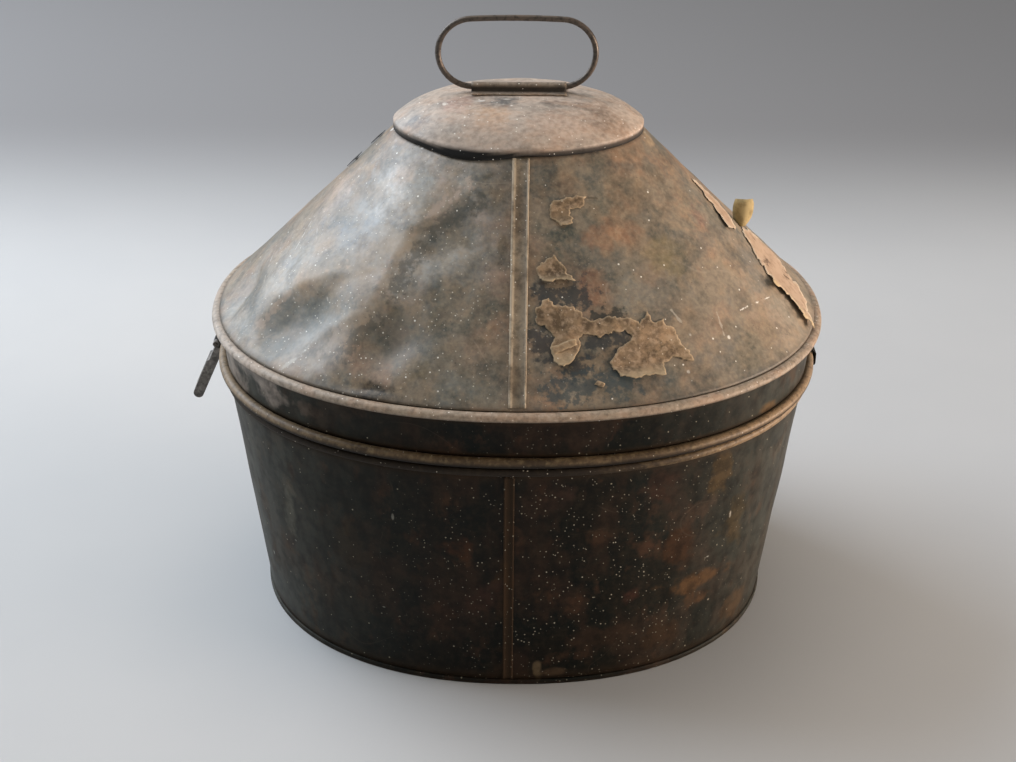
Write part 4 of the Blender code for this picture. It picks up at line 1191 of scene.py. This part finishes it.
def tub_line(side):
    """Line up the tub's wall, a little beside the middle."""
    def surface(share):
        outline, height = wall_at(share)
        place = oval_point(outline, side * math.pi / 2, height)
        place.x += TUB_SEAM_ASIDE
        return place, Vector((0, side, -0.058)).normalized()
    return surface


cone_section = lipped_section((-3.7 * MM, 2.3 * MM), (4.2 * MM, 1.3 * MM), 1.5 * MM, 0.6 * MM)
tub_section = lipped_section((-2.3 * MM, 1.3 * MM), (2.3 * MM, 1.3 * MM), 1.1 * MM, 0.5 * MM)
for side, where in ((-1, "front"), (1, "back")):
    spine = spine_points(cone_line(side), *CONE_SEAM_ENDS)
    strip = seam_strip(f"cone_{where}_hook", spine, cone_section, CONE_SEAM_LEAN)
    steps = list(range(len(cone_section))) * len(spine)
    paint(strip, "ridge", [1.0 if step in LIPS else 0.0 for step in steps])
    paint(strip, "dirt_and_shade", [0.35 if step in LIP_FEET else 0.0 for step in steps])
    dress(strip, seam_japanning, "dusty", "lid", f"cone_{where}_seam")
    spine = spine_points(tub_line(side), *TUB_SEAM_ENDS)
    strip = seam_strip(f"tub_{where}_hook", spine, tub_section)
    paint(strip, "dirt_and_shade", [0.9] * len(strip.data.vertices))
    dress(strip, black_japanning, "black", "tub", f"tub_{where}_seam")

# %% [markdown]
# ## Cap
# The cap is one oval sheet, raised to a low dome and turned down at its edge. Its front edge has
# sagged and kinked beside the seam, so the shape is lofted with that wave in it.

# %% Cap
CAP_ROWS = 28
FLANGE = 0.16                      # share of the cap's rows that are its turned-down side
CAP_SAGS = [(2.6, -114, 19), (-1.0, -87, 6)]      # depth, middle and half width in degrees
CAP_WAVES = (16 * MM, 0.5 * MM)


def cap_point(angle, share):
    """Point of the cap: share is 0 at the lower edge of the turned-down side and 1 at the top."""
    around = signed_degrees(angle)
    sag = sum(
        depth * MM * math.exp(-((around - middle) / wide) ** 2) for depth, middle, wide in CAP_SAGS
    )
    if share <= FLANGE:
        up = share / FLANGE
        height = CAP_EDGE + (CAP_SHOULDER - CAP_EDGE) * up
        return oval_point(grown(CAP, max(0.0, sag) * (1 - 0.6 * up)), angle, height - sag)
    out = 1 - (share - FLANGE) / (1 - FLANGE)
    outline = (CAP[0] * out, CAP[1] * out, CAP[2])
    rise = CAP_DOME * (1 - out ** 4)
    place = oval_point(outline, angle, CAP_SHOULDER + rise - sag * out ** 5)
    waves = ripple(place, *CAP_WAVES) * min(1.0, (1 - out) * 5) * min(1.0, out * 4)
    place.z += waves - 0.1 * MM
    return place


dome_shares = [FLANGE + (1 - FLANGE) * (row / CAP_ROWS) ** 1.2 for row in range(1, CAP_ROWS)]
cap_shares = [0, 0.08, 0.14, FLANGE, *dome_shares, 0.985]
cap_rings = [[cap_point(angle, share) for angle in turns()] for share in cap_shares]
cap = loft("cap_sheet", cap_rings, filled=True)
# The turned-down side is painted dark as shade.
dirt_and_shade_under(cap, CAP_SHOULDER - 0.6 * MM, 2 * MM)
thicken(cap)
dress(cap, cap_japanning, "worn", "lid", "cap")

# %% [markdown]
# ## Handle and sleeve
# The handle is one loop of wire that can fall to either side. A strip of tin folded over its
# bottom run and soldered to the cap holds it.

# %% Handle
HANDLE_AXIS = 316.3 * MM
WIRE_RADIUS = 1.7 * MM
HANDLE_ASIDE = -1.3 * MM
HANDLE_LENGTH, HANDLE_REACH, HANDLE_ARCH = 89.2 * MM, 39.3 * MM, 0.6 * MM
BEND_POINTS = 20
WIRE_WAVES = (6 * MM, 0.04)        # size, and depth as a share of the wire


def handle_path():
    """Places (across, up) along the loop: right bend, arch, left bend and bottom run."""
    bend = HANDLE_REACH / 2
    straight = HANDLE_LENGTH / 2 - bend
    ways = [math.pi * step / BEND_POINTS - math.pi / 2 for step in range(BEND_POINTS + 1)]
    right = [(straight + bend * math.cos(way), bend + bend * math.sin(way)) for way in ways]
    arch = [
        (straight * share, HANDLE_REACH + HANDLE_ARCH * (1 - share ** 2))
        for share in [1 - step / 8 for step in range(1, 16)]
    ]
    left = [(-across, up) for across, up in reversed(right)]
    bottom = [(straight * (step / 8 - 1), 0) for step in range(1, 16)]
    return right + arch + left + bottom


def tube(name, path, radius, sides=16):
    """Closed tube round a loop of points in the XZ plane."""
    centres = [Vector((MIDDLE + HANDLE_ASIDE + across, 0, HANDLE_AXIS + up)) for across, up in path]
    aside = Vector((0, 1, 0))
    rings = []
    for way in turns(sides):
        row = []
        for step, centre in enumerate(centres):
            ahead = (centres[(step + 1) % len(centres)] - centres[step - 1]).normalized()
            out = aside.cross(ahead)
            thick = radius * (1 + ripple(centre, *WIRE_WAVES))
            row.append(centre + (out * math.cos(way) + aside * math.sin(way)) * thick)
        rings.append(row)
    return loft(name, rings, closed=True)


handle = tube("handle_wire", handle_path(), WIRE_RADIUS)
dress(handle, iron_wire, "iron", "handle", "handle")

# %% Sleeve
SLEEVE_FOOT = CAP_SHOULDER + CAP_DOME + GAP
SLEEVE_SHEET = 0.6 * MM
SLEEVE_ROLL = 2.4 * MM
SLEEVE_FLANGE = 5.5 * MM
SLEEVE_LENGTH = 54 * MM
SLEEVE_ROWS = 36
SLEEVE_TEAR = 0.8 * MM             # how ragged its two long edges are
# Painted shade across the strip, darkest in the fold under the roll.
SLEEVE_SHADE = [0.1, 0.9, 1.0, 1.0, 0.9, 0.7, 0.5]      # from an edge inward


def sleeve_section():
    """Middle line of the folded strip, across and up, from one flange to the other."""
    foot = SLEEVE_FOOT + SLEEVE_SHEET / 2
    ways = [math.pi * step / 16 for step in range(17)]
    radius, sheet = SLEEVE_ROLL, SLEEVE_SHEET
    roll = [(-radius * math.cos(way), HANDLE_AXIS + radius * math.sin(way)) for way in ways]
    side = [(radius, foot + sheet), (radius + sheet, foot), (radius + SLEEVE_FLANGE, foot)]
    return [(-across, up) for across, up in reversed(side)] + roll + side


section = sleeve_section()
edges = (0, len(section) - 1)
points = []
for row in range(SLEEVE_ROWS + 1):
    x = MIDDLE + SLEEVE_LENGTH * (row / SLEEVE_ROWS - 0.5)
    for place, (across, up) in enumerate(section):
        tear = SLEEVE_TEAR * noise.noise(Vector((row, place, 3.3))) if place in edges else 0
        points.append((x, across + tear, up))
faces = bands(SLEEVE_ROWS + 1, len(section), rings=False)
sleeve = new_mesh("sleeve_strip", points, [(a, d, c, b) for a, b, c, d in faces])
# The roll's lower side and the folds beside it get painted shade.
sleeve_shade = SLEEVE_SHADE + [0.3] * (len(section) - 2 * len(SLEEVE_SHADE)) + SLEEVE_SHADE[::-1]
paint(sleeve, "dirt_and_shade", sleeve_shade * (SLEEVE_ROWS + 1))
thicken(sleeve, SLEEVE_SHEET, offset=0, even=False)
dress(sleeve, worn_japanning, "worn", "lid", "handle_sleeve")

# %% [markdown]
# ## Torn paper
# Scraps of an old label are left on the front right of the cone, and a bigger one is peeling off
# the right end. Each scrap is an outline that is filled with small triangles and laid on the
# cone. Its lifted side stands off the sheet and the whole scrap is crumpled.

# %% Torn outlines and their filling
def inside(point, outline):
    """Whether a point is inside a flat outline."""
    x, y = point
    hit = False
    for (x1, y1), (x2, y2) in zip(outline, outline[1:] + outline[:1]):
        if (y1 > y) != (y2 > y) and x < (x2 - x1) * (y - y1) / (y2 - y1) + x1:
            hit = not hit
    return hit


def distance_to_edge(point, outline):
    """Distance from a point to the nearest place on a flat outline."""
    gaps = []
    for start, end in zip(outline, outline[1:] + outline[:1]):
        run, off = Vector(end) - Vector(start), Vector(point) - Vector(start)
        along = max(0.0, min(1.0, off.dot(run) / max(run.length_squared, 1e-9)))
        gaps.append((off - run * along).length)
    return min(gaps)


def torn_push(spot, fineness, layer):
    """How far a torn edge is pushed sideways and up at a spot, each between -1 and 1."""
    places = [Vector((spot.x, spot.y, height)) for height in (layer, layer + 20)]
    return Vector([noise.noise(place * fineness) for place in places])


def torn(outline, step, roughness):
    """Outline with extra points and an edge of small bites and longer tears."""
    ragged = []
    for start, end in zip(outline, outline[1:] + outline[:1]):
        first, run = Vector(start), Vector(end) - Vector(start)
        count = max(1, int(run.length / step))
        for place in range(count):
            spot = first + run * place / count
            bite, tear = torn_push(spot, 0.9, 0.5), torn_push(spot, 0.3, 4.5) * 1.6
            push = (bite + tear) * roughness
            ragged.append((spot.x + push.x, spot.y + push.y))
    return ragged


def filled_outline(outline, step):
    """Triangles that fill an outline, with inner points about step apart."""
    xs, ys = [p[0] for p in outline], [p[1] for p in outline]
    inner = []
    rows = int((max(ys) - min(ys)) / step) + 1
    columns = int((max(xs) - min(xs)) / step) + 1
    for row in range(rows):
        for column in range(columns):
            spot = (min(xs) + (column + (row % 2) * 0.5) * step, min(ys) + row * step)
            if inside(spot, outline) and distance_to_edge(spot, outline) > step * 0.5:
                inner.append(spot)
    flat = [Vector(point) for point in outline + inner]
    edge_loop = list(range(len(outline)))
    points, _, triangles, _, _, _ = geometry.delaunay_2d_cdt(flat, [], [edge_loop], 1, 1e-6)
    return [tuple(point) for point in points], triangles


# %% One scrap laid on the cone
TORN_WIDTH = 1.6                   # millimetres of pale fibre along a torn edge
PAPER, LEAF_PAPER = 0.25 * MM, 0.3 * MM


def paper_scrap(name, outline, place, lift, step=0.9, ragged=0.9, material=old_paper):
    """Scrap from an outline in millimetres. place gives its place on the cone, lift its height."""
    edge = torn(outline, step, ragged)
    flat, triangles = filled_outline(edge, step)
    points = []
    for spot in flat:
        base, outward = cone_surface(*place(*spot))[:2]
        crumple = noise.noise(Vector((spot[0], spot[1], 7)) / 5) * 0.35 + 0.45
        points.append(base + outward * (crumple + lift(*spot)) * MM)
    scrap = new_mesh(name, points, [tuple(face) for face in triangles])
    paint(scrap, "edge", [max(0.0, 1 - distance_to_edge(spot, edge) / TORN_WIDTH) for spot in flat])
    paint(scrap, "lifted", [min(1.0, lift(*spot) / 3) for spot in flat])
    thicken(scrap, PAPER, offset=1, even=False)
    dress(scrap, material, None, "lid")


# %% Paper scraps on the front
def on_front(across, up):
    """Place on the cone's front from millimetres across and up the slope."""
    share = up / CONE_SLOPE_LENGTH
    length = CONE_FOOT[0] + (CONE_SEAT[0] - CONE_FOOT[0]) * share
    cosine = (across * MM / length) ** (CONE_FOOT[2] / 2)
    return -math.acos(max(-1.0, min(1.0, cosine))), share


UPPER_SCRAP = [
    (19, 116), (18, 108), (25, 101), (30, 101), (31, 105), (29, 107), (30, 110), (37, 112),
    (39, 117), (30, 118),
]
MIDDLE_SCRAP = [(12, 81), (11, 75), (14, 70), (31, 70), (27, 76), (25, 79), (20, 85), (18, 83)]
LARGE_SCRAP = [
    (10, 55), (17, 62), (20, 57), (28, 56), (34, 53), (36, 50), (40, 47), (50, 48), (59, 47),
    (67, 43), (71, 48), (75, 42), (80, 42), (87, 34), (90, 27), (96, 17), (91, 19), (84, 22),
    (79, 20), (78, 12), (73, 14), (63, 12), (55, 15), (50, 22), (51, 26), (55, 30), (63, 35),
    (59, 40), (54, 40), (47, 39), (41, 39), (36, 41), (34, 36), (33, 30), (29, 24), (22, 22),
    (19, 26), (18, 32), (20, 38), (15, 46), (10, 47),
]
FOLDED_END = [(18, 33), (25, 36), (31, 38), (32, 34), (25, 31), (19, 29)]
CHIP = [(41, 12), (46, 10), (47, 12), (43, 14)]


def large_lift(x, y):
    """The large scrap stands up at its left corner and along its lower right edge."""
    return max(0.0, (34 - y) * 0.3) * (x < 34) + max(0.0, (20 - y) * 0.5) * (45 < x < 80)


paper_scrap("label_scrap_upper", UPPER_SCRAP, on_front, lambda x, y: max(0.0, (107 - y) * 0.35))
paper_scrap("label_scrap_middle", MIDDLE_SCRAP, on_front, lambda x, y: max(0.0, (75 - y) * 0.5))
paper_scrap("label_scrap_large", LARGE_SCRAP, on_front, large_lift)
paper_scrap("label_folded_end", FOLDED_END, on_front, lambda x, y: 1.4, ragged=0.5)
paper_scrap("label_chip", CHIP, on_front, lambda x, y: 0.3, step=0.8, ragged=0.2)

# %% Peeling paper on the right end
def on_end(around, up):
    """Place on the cone's right end from degrees round and millimetres up the slope."""
    return math.radians(around), up / CONE_SLOPE_LENGTH


FLAP = [
    (-4, 60), (1, 57), (6, 48), (6, 32), (0, 16), (-9, 5), (-16, 0), (-16.5, 8), (-14.5, 16),
    (-16, 26), (-16.5, 33), (-13, 37), (-12, 42), (-10, 48), (-7, 53),
]
STRIP = [(-2, 104), (0, 92), (1, 80), (-1, 70), (-8, 66), (-14, 72), (-12, 76), (-7, 85), (-5, 92)]


def flap_lift(x, y):
    """The flap stands up along its lower left edge."""
    return max(0.0, (-11 - x) * 0.5) * (y < 36)


def strip_lift(x, y):
    """The strip stands up a little along its left edge."""
    return max(0.0, (-7 - x) * 0.2)


paper_scrap("label_flap", FLAP, on_end, flap_lift, step=1.0, ragged=1.5, material=pale_paper)
paper_scrap("label_strip", STRIP, on_end, strip_lift, step=1.0, ragged=1.3, material=pale_paper)

# %% Curled leaf that stands up from the flap
LEAF_HEIGHT, LEAF_CUP = 16 * MM, 4 * MM
LEAF_WIDTHS = [2.6, 4.2, 5.4, 6.0, 6.2, 6.0, 5.2]
LEAF_COLUMNS = 8


def curled_leaf(name, foot):
    """Small upright leaf of paper, cupped across and leaning out, wider toward its top."""
    points = []
    for row, half in enumerate(LEAF_WIDTHS):
        up = row / (len(LEAF_WIDTHS) - 1)
        for column in range(LEAF_COLUMNS + 1):
            across = 2 * column / LEAF_COLUMNS - 1
            ragged = noise.noise(Vector((row, column, 9.1))) * 0.5 * MM
            points.append(foot + Vector((
                (across * half + 1.2 * up) * MM + ragged,
                (across ** 2 - 1) * LEAF_CUP + 3 * MM * up ** 2,
                up * LEAF_HEIGHT + (1 - across ** 2) * 1.2 * MM + ragged,
            )))
    leaf = new_mesh(name, points, bands(len(LEAF_WIDTHS), LEAF_COLUMNS + 1, rings=False))
    thicken(leaf, LEAF_PAPER, even=False)
    dress(leaf, yellow_paper, None, "lid")


curled_leaf("label_curl", cone_surface(math.radians(1), 0.42)[0])

# %% Dark slivers on the left end
FLAKE = [(165, 0), (168, 3), (173, 2), (171, 7), (175, 10), (168, 12), (166, 6)]
for name, low in (("varnish_flake_upper", 120), ("varnish_flake_lower", 101)):
    flake = [(around, low + up) for around, up in FLAKE]
    paper_scrap(name, flake, on_end, lambda x, y: 0.2, 1.0, 0.8, black_japanning)

# %% [markdown]
# ## Small parts that keep their CAD shape
# Hasp, hasp leaf, hinge leaves, pins and bottom sheet are already right in the source. They only
# need finishes.

# %% Finishes for the CAD's own nodes
KEPT = [
    (("tub_base", "tub_hinge_leaf", "lid_hinge_leaf", "hasp_leaf"), black_japanning, "black"),
    (("hasp",), dull_tin, "worn"),
    (("hasp_pin", "hinge_pin"), iron_wire, "iron"),
]
for nodes, material, slot in KEPT:
    for node in nodes:
        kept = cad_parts[node]
        for place in kept.material_slots:
            place.material = material
    print(material.name, "on", ", ".join(nodes))
